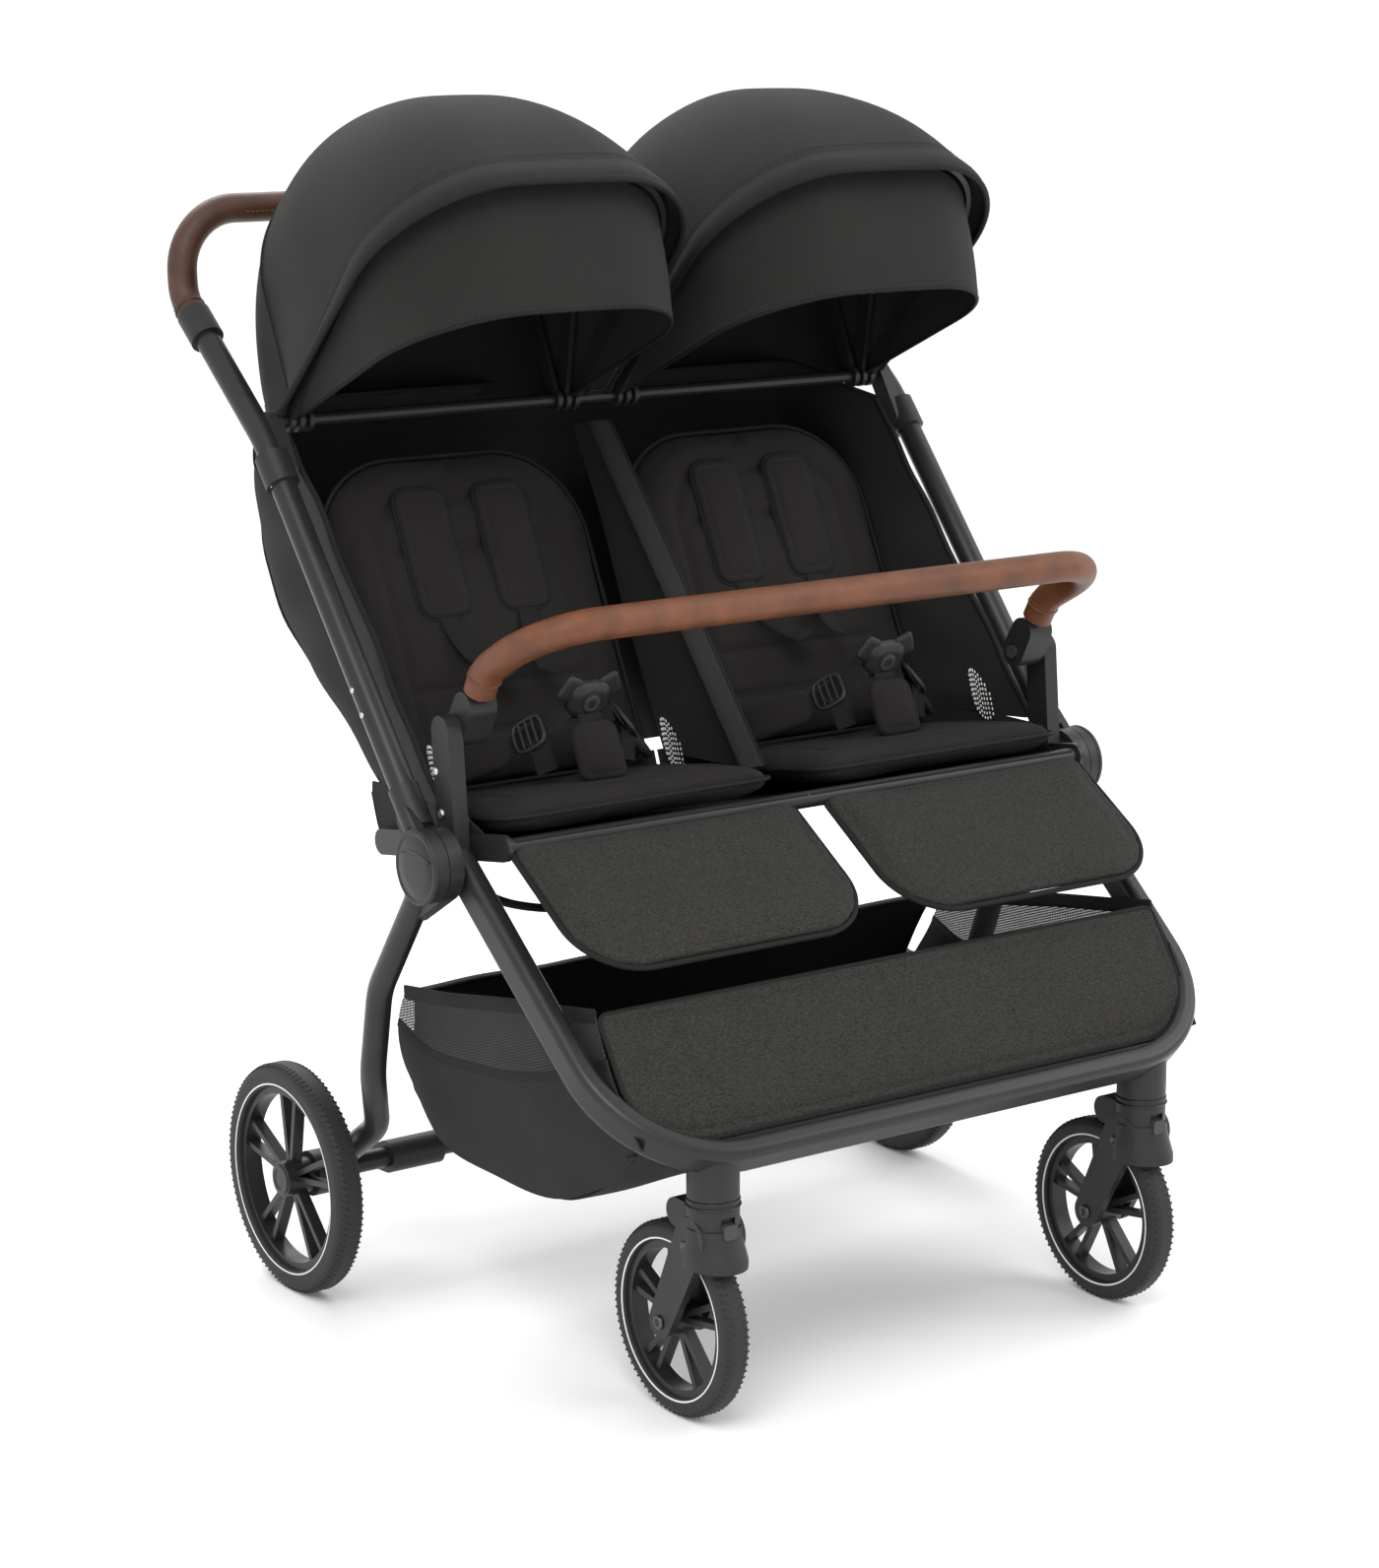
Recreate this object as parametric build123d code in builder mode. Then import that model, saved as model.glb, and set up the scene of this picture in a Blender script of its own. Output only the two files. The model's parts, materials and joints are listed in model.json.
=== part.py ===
from build123d import *
from math import atan2, cos, degrees, hypot, radians, sin, tan
import os

# Folding side-by-side twin stroller, in millimetres.
# X runs across (left is -X, as seen from the front), the front faces -Y and Z is up.
# "back" is a distance behind the front wheel axle and "height" is above the floor.

# ---------------------------------------------------------------- wheels and casters
REAR_WHEEL_RADIUS = 111.0
REAR_TYRE_WIDTH = 28.0
FRONT_WHEEL_RADIUS = 87.5
FRONT_TYRE_WIDTH = 26.0
TYRE_DEPTH_SHARE = 0.20          # tyre depth over wheel radius
RIM_DEPTH = 7.0
RIM_WIDTH = 17.0
SPOKE_PAIRS = 5
SPOKE_WIDTH = 5.5
SPOKE_DEPTH = 11.0
SPOKE_HALF_SPREAD = 9.0          # degrees between a spoke and the middle of its pair
SPOKE_ROOT = 4.0                 # how far the two ends of a spoke run in, together
REAR_HUB_RADIUS = 17.0
FRONT_HUB_RADIUS = 14.0
AXLE_RADIUS = 5.0
WHEELBASE = 468.0
WHEELS_OUTER_WIDTH = 760.0
CASTER_INSET = 134.0             # swivel line from the rear wheels' outer side
CASTER_TRAIL = 48.0
CASTER_HOUSING_RADIUS = 23.0
CASTER_STEM_RADIUS = 8.0
CASTER_JOINT_HEIGHT = 211.6      # where the caster turns against its socket
CASTER_STEM_RISE = 22.0
FORK_BLADE = 7.0
FORK_AXLE_LOBE = 15.0
SUSPENSION_LOBE = 13.0
SUSPENSION_RISE = 103.5          # suspension lobe above the front axle
SUSPENSION_SETBACK = 34.0        # suspension lobe behind the caster stem
TYRE_CLEARANCE = 3.0
LOCK_WIDTH = 14.0
LOCK_HEIGHT = 13.0
LOCK_DEPTH = 8.0
LOCK_PROUD = 3.5
LOCK_TRAVEL = 5.0
LOCK_MIDDLE_HEIGHT = 186.0

# ---------------------------------------------------------------- fits
RUNNING_FIT = 0.3                # radial gap of a turning or sliding fit
BODY_GAP = 0.8                   # gap between neighbours that move past each other
SEAT_FIT = 0.05                  # gap of a fixed fit between pieces of one body

# ---------------------------------------------------------------- frame
HINGE_BACK = 202.0
HINGE_HEIGHT = 470.0
HINGE_RADIUS = 33.3
HINGE_CAP_PROUD = 5.0            # hinge caps beyond the rear wheels
HINGE_PIN_RADIUS = 8.0
HINGE_CAP_WALL = 2.0
SIDE_TUBE = 24.0
TUBE_WALL = 1.6
LEG_WIDTH = 21.0                 # front frame section across the loop
LEG_HEIGHT = 32.0                # front frame section square to the loop
LEG_INSET = 39.0                 # the rest are insets from the rear wheels' outer side
CORNER_INSET = 46.0
FRONT_SLOPE = 40.0
FRONT_LENGTH = 345.0             # hinge to crossbar, down the slope
FRONT_CORNER_RADIUS = 115.0
UPPER_SLOPE = 50.6
UPPER_BEND_BACK = 484.0
COLLAR_BACK = 604.0
COLLAR_HEIGHT = 909.0
COLLAR_LENGTH = 34.0
COLLAR_WALL = 4.0
HANDLE_TUBE = 20.0
HANDLE_GRIP = 28.0
HANDLE_KNEE_RUN = 41.0
HANDLE_BACK = 641.0
HANDLE_HEIGHT = 1016.0
HANDLE_CORNER_RADIUS = 58.0
HANDLE_KNEE_RADIUS = 33.0
SIDE_TUBE_BEND = 150.0
FOLD_HOUSING_RADIUS = 16.5
FOLD_HOUSING_WIDTH = 80.0
FOLD_HOUSING_DROP = 22.0
FOLD_BUTTON_WIDTH = 40.0
FOLD_BUTTON_DEPTH = 14.0
FOLD_BUTTON_TRAVEL = 4.0
SOCKET_WALL = 2.0                # sleeve on the lower end of each side tube
SOCKET_START = 36.0
SOCKET_LENGTH = 42.0

# ---------------------------------------------------------------- rear frame
REAR_LEG_TUBE = 24.0
REAR_LEG_FOOT_INSET = 47.0
REAR_LEG_ANGLE = -52.0
REAR_LEG_BENDS = ((168.0, 335.0), (142.0, 250.0), (102.0, 182.0))  # ahead of the rear axle, height
REAR_LEG_BEND_RADII = (90.0, 90.0, 60.0)
REAR_LEG_TURN_IN = 6.0
REAR_AXLE_TUBE = 20.0
BRAKE_RADIUS = 22.0
BRAKE_INSET = 64.0
WHEEL_HUB_HALF = 15.0
PEDAL_X = -236.0
PEDAL_WIDTH = 58.0
PEDAL_COLLAR_RADIUS = 16.0
PEDAL_REACH = 54.0
PEDAL_DROP = 14.0

# ---------------------------------------------------------------- bumper bar
BUMPER_INSET = 60.0
BUMPER_PIVOT_BACK = 215.0
BUMPER_PIVOT_HEIGHT = 585.0
BUMPER_TUBE = 19.0
BUMPER_GRIP = 29.0
BUMPER_KNEE_BACK = 184.0
BUMPER_KNEE_HEIGHT = 641.0
BUMPER_BAR_BACK = 97.0
BUMPER_BAR_HEIGHT = 688.0
BUMPER_CORNER_RADIUS = 62.0
BUMPER_KNEE_RADIUS = 45.0
BUMPER_SOCKET_HALF = 14.0
BUMPER_TUBE_START = 14.0
BUMPER_SOCKET_LENGTH = 38.0
BUMPER_PIN_RADIUS = 5.0
BUMPER_BUTTON_RADIUS = 6.5
BUMPER_BUTTON_TRAVEL = 3.0
BRACKET_INSET = 30.0

# ---------------------------------------------------------------- seats
SEAT_X = 171.5                   # centre of each seat
SEAT_WIDTH = 296.0
SEAT_TUBE = 16.0
SEAT_FRONT_BACK = 147.0
SEAT_FRONT_HEIGHT = 490.0
SEAT_REAR_BACK = 352.0
SEAT_REAR_HEIGHT = 457.0
SEAT_PAD_THICKNESS = 24.0
SEAT_PLATE = 5.0
SEAT_PLATE_RADIUS = 12.0
RECLINE_BACK = 358.0
RECLINE_HEIGHT = 478.0
BACKREST_TILT = 26.0
BACKREST_LENGTH = 340.0
BACKREST_THICKNESS = 30.0
BACKREST_START = 14.0
BACKREST_CORNER = 88.0
SHOULDER_PAD_WIDTH = 52.0
SHOULDER_PAD_LENGTH = 125.0
SHOULDER_PAD_THICKNESS = 10.0
SHOULDER_PAD_SPREAD = 44.0
SHOULDER_PAD_CENTRE = 240.0
CALF_LENGTH = 157.0
CALF_SLOPE = 32.3
CALF_THICKNESS = 13.0
CALF_START = 10.0
CALF_CORNER = 62.0
CALF_WIDTH = 300.0
BUCKLE_BACK = 250.0
BUCKLE_HEIGHT = 588.0
BUCKLE_WIDTH = 46.0
BUCKLE_TALL = 34.0
BUCKLE_THICKNESS = 16.0
CROTCH_WIDTH = 44.0
CROTCH_THICKNESS = 10.0
CROTCH_FOOT_BACK = 226.0

# ---------------------------------------------------------------- canopies
CANOPY_X = 182.0                 # centre of each canopy
CANOPY_BACK = 490.0
CANOPY_HEIGHT = 830.0
CANOPY_ROD = 12.0
CANOPY_CLAMP_WALL = 4.0
CANOPY_CLAMP_LENGTH = 32.0
CANOPY_CLAMP_INSET = 30.5
BOW_THICKNESS = 5.0
BOW_WIDTH = 14.0
BOW_EYE_RADIUS = 11.0
RIM_HALF_WIDTH = 157.0
RIM_TILT = 42.0
RIM_REACH = 310.0
RIM_CORNER = 108.0
MIDDLE_HALF_WIDTH = 147.0
MIDDLE_TILT = 8.0
MIDDLE_REACH = 283.0
MIDDLE_CORNER = 128.0
REAR_BOW_HALF_WIDTH = 137.0
REAR_BOW_TILT = -25.0
REAR_BOW_REACH = 235.0
REAR_BOW_CORNER = 128.0
SHELL_WALL = 2.5
SHELL_STAND_OFF = 8.5            # outside of the fabric beyond the middle line of its bow
SHELL_START = 40.0               # the fabric stops this far from the rod
SHELL_FRONT_TILT = 43.6
SHELL_REAR_TILT = -27.0
VISOR_RADIUS = 270.0
VISOR_HALF_WIDTH = 152.0
VISOR_CORNER = 100.0
VISOR_TOP_TILT = 44.4
VISOR_EDGE_TILT = 64.0

# ---------------------------------------------------------------- soft shells
BASKET_INSET = 63.0
BASKET_WALL = 4.0
BASKET_CORNER = 94.0
BACK_COVER_THICKNESS = 4.0
BACK_COVER_INSET = 63.0
WING_INSET = 57.5
WING_THICKNESS = 2.5
DIVIDER_THICKNESS = 4.0

# ---------------------------------------------------------------- worked-out places
FRONT_END_BACK = -FRONT_WHEEL_RADIUS
REAR_END_BACK = HANDLE_BACK + FOLD_HOUSING_RADIUS
CENTRE_BACK = (FRONT_END_BACK + REAR_END_BACK) / 2
HALF_WIDTH = WHEELS_OUTER_WIDTH / 2
SOCKET_RADIUS = SIDE_TUBE / 2 + SOCKET_WALL
COLLAR_RADIUS = SIDE_TUBE / 2 + COLLAR_WALL
CANOPY_CLAMP_RADIUS = SIDE_TUBE / 2 + CANOPY_CLAMP_WALL
WHEEL_X = HALF_WIDTH - REAR_TYRE_WIDTH / 2
HINGE_OUTER_X = HALF_WIDTH + HINGE_CAP_PROUD
LEG_X = HALF_WIDTH - LEG_INSET
CORNER_X = HALF_WIDTH - CORNER_INSET
REAR_LEG_FOOT_X = HALF_WIDTH - REAR_LEG_FOOT_INSET
BRAKE_INNER_X = HALF_WIDTH - BRAKE_INSET
BUMPER_X = HALF_WIDTH - BUMPER_INSET
BRACKET_OUTER_X = HALF_WIDTH - BRACKET_INSET
CANOPY_CLAMP_INNER_X = HALF_WIDTH - CANOPY_CLAMP_INSET
BASKET_HALF_WIDTH = HALF_WIDTH - BASKET_INSET
BACK_COVER_HALF_WIDTH = HALF_WIDTH - BACK_COVER_INSET
WING_INNER_X = HALF_WIDTH - WING_INSET
SIDE_X = WHEEL_X
CASTER_X = HALF_WIDTH - CASTER_INSET
CASTER_BACK = -CASTER_TRAIL
LEG_OUTER_X = LEG_X + LEG_WIDTH / 2
LEG_INNER_X = LEG_X - LEG_WIDTH / 2
UPPER_BEND_HEIGHT = HINGE_HEIGHT + (UPPER_BEND_BACK - HINGE_BACK) * tan(radians(UPPER_SLOPE))
COLLAR_ANGLE = degrees(atan2(COLLAR_HEIGHT - UPPER_BEND_HEIGHT, COLLAR_BACK - UPPER_BEND_BACK))
BUMPER_ANGLE = degrees(atan2(BUMPER_KNEE_HEIGHT - BUMPER_PIVOT_HEIGHT, BUMPER_KNEE_BACK - BUMPER_PIVOT_BACK))
REAR_DISC_INNER_X = LEG_OUTER_X + 3.5
REAR_DISC_OUTER_X = (REAR_DISC_INNER_X + HINGE_OUTER_X) / 2 - BODY_GAP
CAP_INNER_X = REAR_DISC_OUTER_X + BODY_GAP
BRAKE_OUTER_X = WHEEL_X - WHEEL_HUB_HALF - BODY_GAP
HANDLE_RADII = [HANDLE_KNEE_RADIUS, HANDLE_CORNER_RADIUS, HANDLE_CORNER_RADIUS, HANDLE_KNEE_RADIUS]
BUMPER_RADII = [BUMPER_KNEE_RADIUS, BUMPER_CORNER_RADIUS, BUMPER_CORNER_RADIUS, BUMPER_KNEE_RADIUS]
SIDES = {"left": -1, "right": 1}
ALONG_X = (0, 90, 0)


def at(x, back, height):
    """The model point that lies x across, back behind the front axle and height up."""
    return (x, back - CENTRE_BACK, height)


def side_plane(x):
    """A plane seen from the side: its own axes are back and height."""
    return Plane(origin=at(x, 0, 0), x_dir=(0, 1, 0), z_dir=(1, 0, 0))


def step_from(back, height, angle, distance):
    """The (back, height) reached from a point at an angle above the +Y direction."""
    turn = radians(angle)
    return (back + distance * cos(turn), height + distance * sin(turn))


def tilted_plane(x, back, height, tilt):
    """A plane across the stroller whose own Y leans forward from upright by tilt degrees."""
    lean = radians(tilt)
    return Plane(origin=at(x, back, height), x_dir=(1, 0, 0), z_dir=(0, -cos(lean), -sin(lean)))


def save(part, label):
    """Name a finished piece and write it."""
    part.label = label
    export_step(part, f"parts/{label}.step")


def swept_tube(points, radii, outer, inner):
    """A round tube along straight runs that are joined by tangent arcs."""
    with BuildPart() as tube:
        with BuildLine() as route:
            FilletPolyline(*points, radius=radii)
        with BuildSketch(Plane(origin=route.line @ 0, z_dir=route.line % 0)):
            Circle(outer / 2)
            Circle(inner / 2, mode=Mode.SUBTRACT)
        sweep()
    return tube.part


# ================================================================ wheels
def build_tyre(x, back, radius, width):
    """A solid tyre with a rounded tread."""
    depth = TYRE_DEPTH_SHARE * radius
    with BuildPart() as tyre:
        with BuildSketch(tilted_plane(x, back, radius, 0)) as section:
            with Locations((0, radius - depth / 2)):
                Rectangle(width, depth)
            fillet(section.vertices().group_by(Axis.Y)[-1], width * 0.36)
            fillet(section.vertices().group_by(Axis.Y)[0], width * 0.12)
        revolve(axis=Axis(at(x, back, radius), (1, 0, 0)))
    return tyre.part


def build_rim(x, back, radius, hub_radius, hub_width, bore_shift):
    """A rim with pairs of spokes; its bore is moved inward where the hub's outer end stays closed."""
    outer = radius * (1 - TYRE_DEPTH_SHARE)
    inner = outer - RIM_DEPTH
    with BuildPart() as rim:
        with BuildSketch(tilted_plane(x, back, radius, 0)):
            with Locations((0, outer - RIM_DEPTH / 2)):
                Rectangle(RIM_WIDTH, RIM_DEPTH)
        revolve(axis=Axis(at(x, back, radius), (1, 0, 0)))
        with BuildSketch(side_plane(x - SPOKE_DEPTH / 2)):
            with Locations((back, radius)):
                for spread in (-SPOKE_HALF_SPREAD, SPOKE_HALF_SPREAD):
                    with PolarLocations((inner + hub_radius) / 2, SPOKE_PAIRS, start_angle=90 + spread):
                        Rectangle(inner - hub_radius + SPOKE_ROOT, SPOKE_WIDTH)
        extrude(amount=SPOKE_DEPTH)
        with Locations(at(x, back, radius)):
            Cylinder(hub_radius, hub_width, rotation=ALONG_X)
        with Locations(at(x + bore_shift, back, radius)):
            Cylinder(AXLE_RADIUS + RUNNING_FIT, hub_width, rotation=ALONG_X, mode=Mode.SUBTRACT)
    return rim.part


# ================================================================ casters
def build_caster_sockets(frame_loop):
    """The two sockets under the crossbar that the caster stems turn in."""
    top = HINGE_HEIGHT - FRONT_LENGTH * sin(radians(FRONT_SLOPE))
    floor = CASTER_JOINT_HEIGHT + BODY_GAP
    with BuildPart() as sockets:
        with Locations([at(side * CASTER_X, CASTER_BACK, (top + floor) / 2) for side in SIDES.values()]):
            Cylinder(CASTER_HOUSING_RADIUS, top - floor)
        add(frame_loop, mode=Mode.SUBTRACT)
        with Locations([at(side * CASTER_X, CASTER_BACK, floor) for side in SIDES.values()]):
            Cylinder(CASTER_STEM_RADIUS + RUNNING_FIT, 2 * CASTER_STEM_RISE + 2, mode=Mode.SUBTRACT)
    return sockets.part


def build_caster_fork(x):
    """A caster: stem, housing, suspension lobe, two blades and the wheel's axle."""
    blade_inner = FRONT_TYRE_WIDTH / 2 + TYRE_CLEARANCE
    blade_outer = blade_inner + FORK_BLADE
    housing_floor = FRONT_WHEEL_RADIUS + 66
    lobe = (CASTER_BACK + SUSPENSION_SETBACK, FRONT_WHEEL_RADIUS + SUSPENSION_RISE)
    front_face = CASTER_BACK - CASTER_HOUSING_RADIUS
    with BuildPart() as fork:
        with Locations(at(x, CASTER_BACK, (housing_floor + CASTER_JOINT_HEIGHT) / 2)):
            Cylinder(CASTER_HOUSING_RADIUS, CASTER_JOINT_HEIGHT - housing_floor)
        with Locations(at(x, CASTER_BACK, CASTER_JOINT_HEIGHT)):
            Cylinder(CASTER_STEM_RADIUS, 2 * CASTER_STEM_RISE)
        with BuildSketch(side_plane(x - blade_outer)):
            with Locations((CASTER_BACK + 4, FRONT_WHEEL_RADIUS + 88)):
                Circle(20)
            with Locations((0, FRONT_WHEEL_RADIUS)):
                Circle(FORK_AXLE_LOBE)
            make_hull()
        extrude(amount=2 * blade_outer)
        with BuildSketch(side_plane(x - blade_inner)):
            with Locations(lobe):
                Circle(SUSPENSION_LOBE)
            with Locations((CASTER_BACK + 8, lobe[1] + 2)):
                Circle(SUSPENSION_LOBE - 2)
            make_hull()
        extrude(amount=2 * blade_inner)
        with Locations(at(x, 0, FRONT_WHEEL_RADIUS)):
            Cylinder(
                FRONT_WHEEL_RADIUS + TYRE_CLEARANCE, 2 * blade_inner, rotation=ALONG_X, mode=Mode.SUBTRACT
            )
            Cylinder(AXLE_RADIUS, 2 * blade_outer + 4, rotation=ALONG_X)
        pocket_height = LOCK_HEIGHT + LOCK_TRAVEL + 2 * RUNNING_FIT
        pocket_depth = LOCK_DEPTH - LOCK_PROUD + RUNNING_FIT
        with Locations(at(x, front_face + pocket_depth / 2 - 5, LOCK_MIDDLE_HEIGHT + LOCK_TRAVEL / 2)):
            Box(LOCK_WIDTH + 2 * RUNNING_FIT, pocket_depth + 10, pocket_height, mode=Mode.SUBTRACT)
    return fork.part


def build_swivel_lock(x):
    """The slide on the front of a caster housing that stops its swivel."""
    front_face = CASTER_BACK - CASTER_HOUSING_RADIUS - LOCK_PROUD
    with BuildPart() as lock:
        with Locations(at(x, front_face + LOCK_DEPTH / 2, LOCK_MIDDLE_HEIGHT)):
            Box(LOCK_WIDTH, LOCK_DEPTH, LOCK_HEIGHT)
        fillet(lock.edges().filter_by(Axis.Y), 3)
    return lock.part


# ================================================================ front frame
def front_loop_solid(inset):
    """The front frame loop: two legs and a crossbar in one sloping plane, with big round corners."""
    slope = radians(FRONT_SLOPE)
    loop_plane = Plane(origin=at(0, HINGE_BACK, HINGE_HEIGHT), x_dir=(1, 0, 0), z_dir=(0, sin(slope), -cos(slope)))
    start = -LEG_HEIGHT / 4
    with BuildPart() as loop:
        with BuildLine(loop_plane) as route:
            FilletPolyline(
                (-LEG_X, start),
                (-CORNER_X, FRONT_LENGTH),
                (CORNER_X, FRONT_LENGTH),
                (LEG_X, start),
                radius=FRONT_CORNER_RADIUS,
            )
        with BuildSketch(Plane(origin=route.line @ 0, x_dir=loop_plane.z_dir, z_dir=route.line % 0)):
            RectangleRounded(LEG_HEIGHT - 2 * inset, LEG_WIDTH - 2 * inset, 8 - inset)
        sweep()
    return loop.part


def build_front_frame_tube():
    """The front frame loop as a hollow tube."""
    with BuildPart() as tube:
        add(front_loop_solid(0))
        add(front_loop_solid(TUBE_WALL), mode=Mode.SUBTRACT)
    return tube.part


def build_hinge_hubs():
    """A washer and a pin on each side that both moving frames turn on."""
    washer = REAR_DISC_INNER_X - BODY_GAP - LEG_OUTER_X
    pin_end = HINGE_OUTER_X - HINGE_CAP_WALL - RUNNING_FIT
    with BuildPart() as hubs:
        for side in SIDES.values():
            with Locations(at(side * (LEG_OUTER_X + washer / 2), HINGE_BACK, HINGE_HEIGHT)):
                Cylinder(HINGE_RADIUS - 8, washer, rotation=ALONG_X)
            with Locations(at(side * (LEG_OUTER_X + pin_end) / 2, HINGE_BACK, HINGE_HEIGHT)):
                Cylinder(HINGE_PIN_RADIUS, pin_end - LEG_OUTER_X, rotation=ALONG_X)
    return hubs.part


def build_bumper_brackets(frame_loop):
    """The plates that rise from the front frame and carry the bumper bar's pivot pins."""
    inner = BUMPER_X + BUMPER_SOCKET_HALF + BODY_GAP
    foot = LEG_INNER_X + 1
    pin_inner = BUMPER_X + 1
    with BuildPart() as brackets:
        for side in SIDES.values():
            with BuildSketch(side_plane(side * inner)):
                with Locations((HINGE_BACK + 4, HINGE_HEIGHT + 12)):
                    Circle(14)
                with Locations((BUMPER_PIVOT_BACK, BUMPER_PIVOT_HEIGHT)):
                    Circle(14)
                make_hull()
            extrude(amount=side * (BRACKET_OUTER_X - inner))
            with Locations(
                at(side * (pin_inner + inner) / 2, BUMPER_PIVOT_BACK, BUMPER_PIVOT_HEIGHT)
            ):
                Cylinder(BUMPER_PIN_RADIUS, inner - pin_inner + 1, rotation=ALONG_X)
            with Locations(at(side * (foot + inner) / 2, HINGE_BACK + 4, HINGE_HEIGHT + 34)):
                Cylinder(8, inner - foot + 1, rotation=ALONG_X)
        add(frame_loop, mode=Mode.SUBTRACT)
    return brackets.part


def build_seat_side_plates(frame_loop):
    """The flat bars on the inside of the front legs that carry both seat tubes."""
    inner = LEG_INNER_X - SEAT_PLATE
    with BuildPart() as plates:
        for side in SIDES.values():
            with BuildSketch(side_plane(side * inner)):
                with Locations((SEAT_FRONT_BACK, SEAT_FRONT_HEIGHT), (SEAT_REAR_BACK, SEAT_REAR_HEIGHT)):
                    Circle(SEAT_PLATE_RADIUS)
                make_hull()
            extrude(amount=side * SEAT_PLATE)
        add(frame_loop, mode=Mode.SUBTRACT)
    return plates.part


def build_seat_cross_tubes():
    """The front and rear tubes under the seats."""
    length = 2 * (LEG_INNER_X - SEAT_PLATE)
    places = [at(0, SEAT_FRONT_BACK, SEAT_FRONT_HEIGHT), at(0, SEAT_REAR_BACK, SEAT_REAR_HEIGHT)]
    with BuildPart() as tubes:
        with Locations(places):
            Cylinder(SEAT_TUBE / 2, length, rotation=ALONG_X)
            Cylinder(SEAT_TUBE / 2 - TUBE_WALL, length, rotation=ALONG_X, mode=Mode.SUBTRACT)
    return tubes.part


# ================================================================ upper frame
def build_side_tube(side):
    """One side tube, from its hinge socket up to the collar of the handle."""
    x = side * SIDE_X
    foot = step_from(HINGE_BACK, HINGE_HEIGHT, UPPER_SLOPE, SOCKET_START + 4)
    points = [at(x, *foot), at(x, UPPER_BEND_BACK, UPPER_BEND_HEIGHT), at(x, COLLAR_BACK, COLLAR_HEIGHT)]
    return swept_tube(points, SIDE_TUBE_BEND, SIDE_TUBE, SIDE_TUBE - 2 * TUBE_WALL)


def build_hinge_discs():
    """The round outer hinge caps, each with the sleeve that holds its side tube."""
    sleeve_middle = step_from(HINGE_BACK, HINGE_HEIGHT, UPPER_SLOPE, SOCKET_START + SOCKET_LENGTH / 2)
    tube_from = step_from(HINGE_BACK, HINGE_HEIGHT, UPPER_SLOPE, SOCKET_START + 4 + SOCKET_LENGTH)
    lean = radians(UPPER_SLOPE)
    neck = step_from(HINGE_BACK, HINGE_HEIGHT, UPPER_SLOPE, SOCKET_START + 12)
    cap = HINGE_OUTER_X - CAP_INNER_X
    with BuildPart() as discs:
        for side in SIDES.values():
            x = side * SIDE_X
            with BuildSketch(side_plane(side * CAP_INNER_X)):
                with Locations((HINGE_BACK, HINGE_HEIGHT)):
                    Circle(HINGE_RADIUS)
            extrude(amount=side * cap)
            with BuildSketch(side_plane(side * CAP_INNER_X)):
                with Locations((HINGE_BACK, HINGE_HEIGHT)):
                    Circle(SOCKET_RADIUS + 4)
                with Locations(neck):
                    Circle(SOCKET_RADIUS - 2)
                make_hull()
            extrude(amount=side * (SIDE_X + SOCKET_RADIUS - CAP_INNER_X - 2))
            sleeve_plane = Plane(origin=at(x, *sleeve_middle), z_dir=(0, cos(lean), sin(lean)))
            with BuildSketch(sleeve_plane):
                Circle(SOCKET_RADIUS)
            extrude(amount=SOCKET_LENGTH / 2, both=True)
            bore_plane = Plane(origin=at(x, *tube_from), z_dir=(0, -cos(lean), -sin(lean)))
            with BuildSketch(bore_plane):
                Circle(SIDE_TUBE / 2 + SEAT_FIT)
            extrude(amount=SOCKET_LENGTH, mode=Mode.SUBTRACT)
            bore_middle = CAP_INNER_X + (cap - HINGE_CAP_WALL) / 2
            with Locations(at(side * bore_middle, HINGE_BACK, HINGE_HEIGHT)):
                Cylinder(
                    HINGE_PIN_RADIUS + RUNNING_FIT, cap - HINGE_CAP_WALL, rotation=ALONG_X, mode=Mode.SUBTRACT
                )
    return discs.part


def handle_knee():
    """The (back, height) where the handle turns up from the slope of the side tubes."""
    return step_from(COLLAR_BACK, COLLAR_HEIGHT, COLLAR_ANGLE, HANDLE_KNEE_RUN)


def handle_route(start):
    """The handle's corner points, from one start distance past the collar round to the other."""
    first = step_from(COLLAR_BACK, COLLAR_HEIGHT, COLLAR_ANGLE, start)
    climb = [first, handle_knee(), (HANDLE_BACK, HANDLE_HEIGHT)]
    left = [at(-SIDE_X, *point) for point in climb]
    right = [at(SIDE_X, *point) for point in reversed(climb)]
    return left + right


def build_handle_tube():
    """The metal loop inside the handle."""
    return swept_tube(handle_route(0), HANDLE_RADII, HANDLE_TUBE, HANDLE_TUBE - 2 * TUBE_WALL)


def build_handle_grip():
    """The leather cover of the handle."""
    return swept_tube(handle_route(COLLAR_LENGTH / 2 + 1), HANDLE_RADII, HANDLE_GRIP, HANDLE_TUBE)


def build_handle_collars():
    """The collars that join the side tubes to the handle."""
    lean = radians(COLLAR_ANGLE)
    with BuildPart() as collars:
        for side in SIDES.values():
            axis_dir = (0, cos(lean), sin(lean))
            joint = Plane(origin=at(side * SIDE_X, COLLAR_BACK, COLLAR_HEIGHT), z_dir=axis_dir)
            with BuildSketch(joint):
                Circle(COLLAR_RADIUS)
            extrude(amount=COLLAR_LENGTH / 2, both=True)
            with BuildSketch(joint):
                Circle(SIDE_TUBE / 2 + SEAT_FIT)
            extrude(amount=-COLLAR_LENGTH / 2, mode=Mode.SUBTRACT)
            with BuildSketch(joint):
                Circle(HANDLE_TUBE / 2 + SEAT_FIT)
            extrude(amount=COLLAR_LENGTH / 2, mode=Mode.SUBTRACT)
    return collars.part


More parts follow.
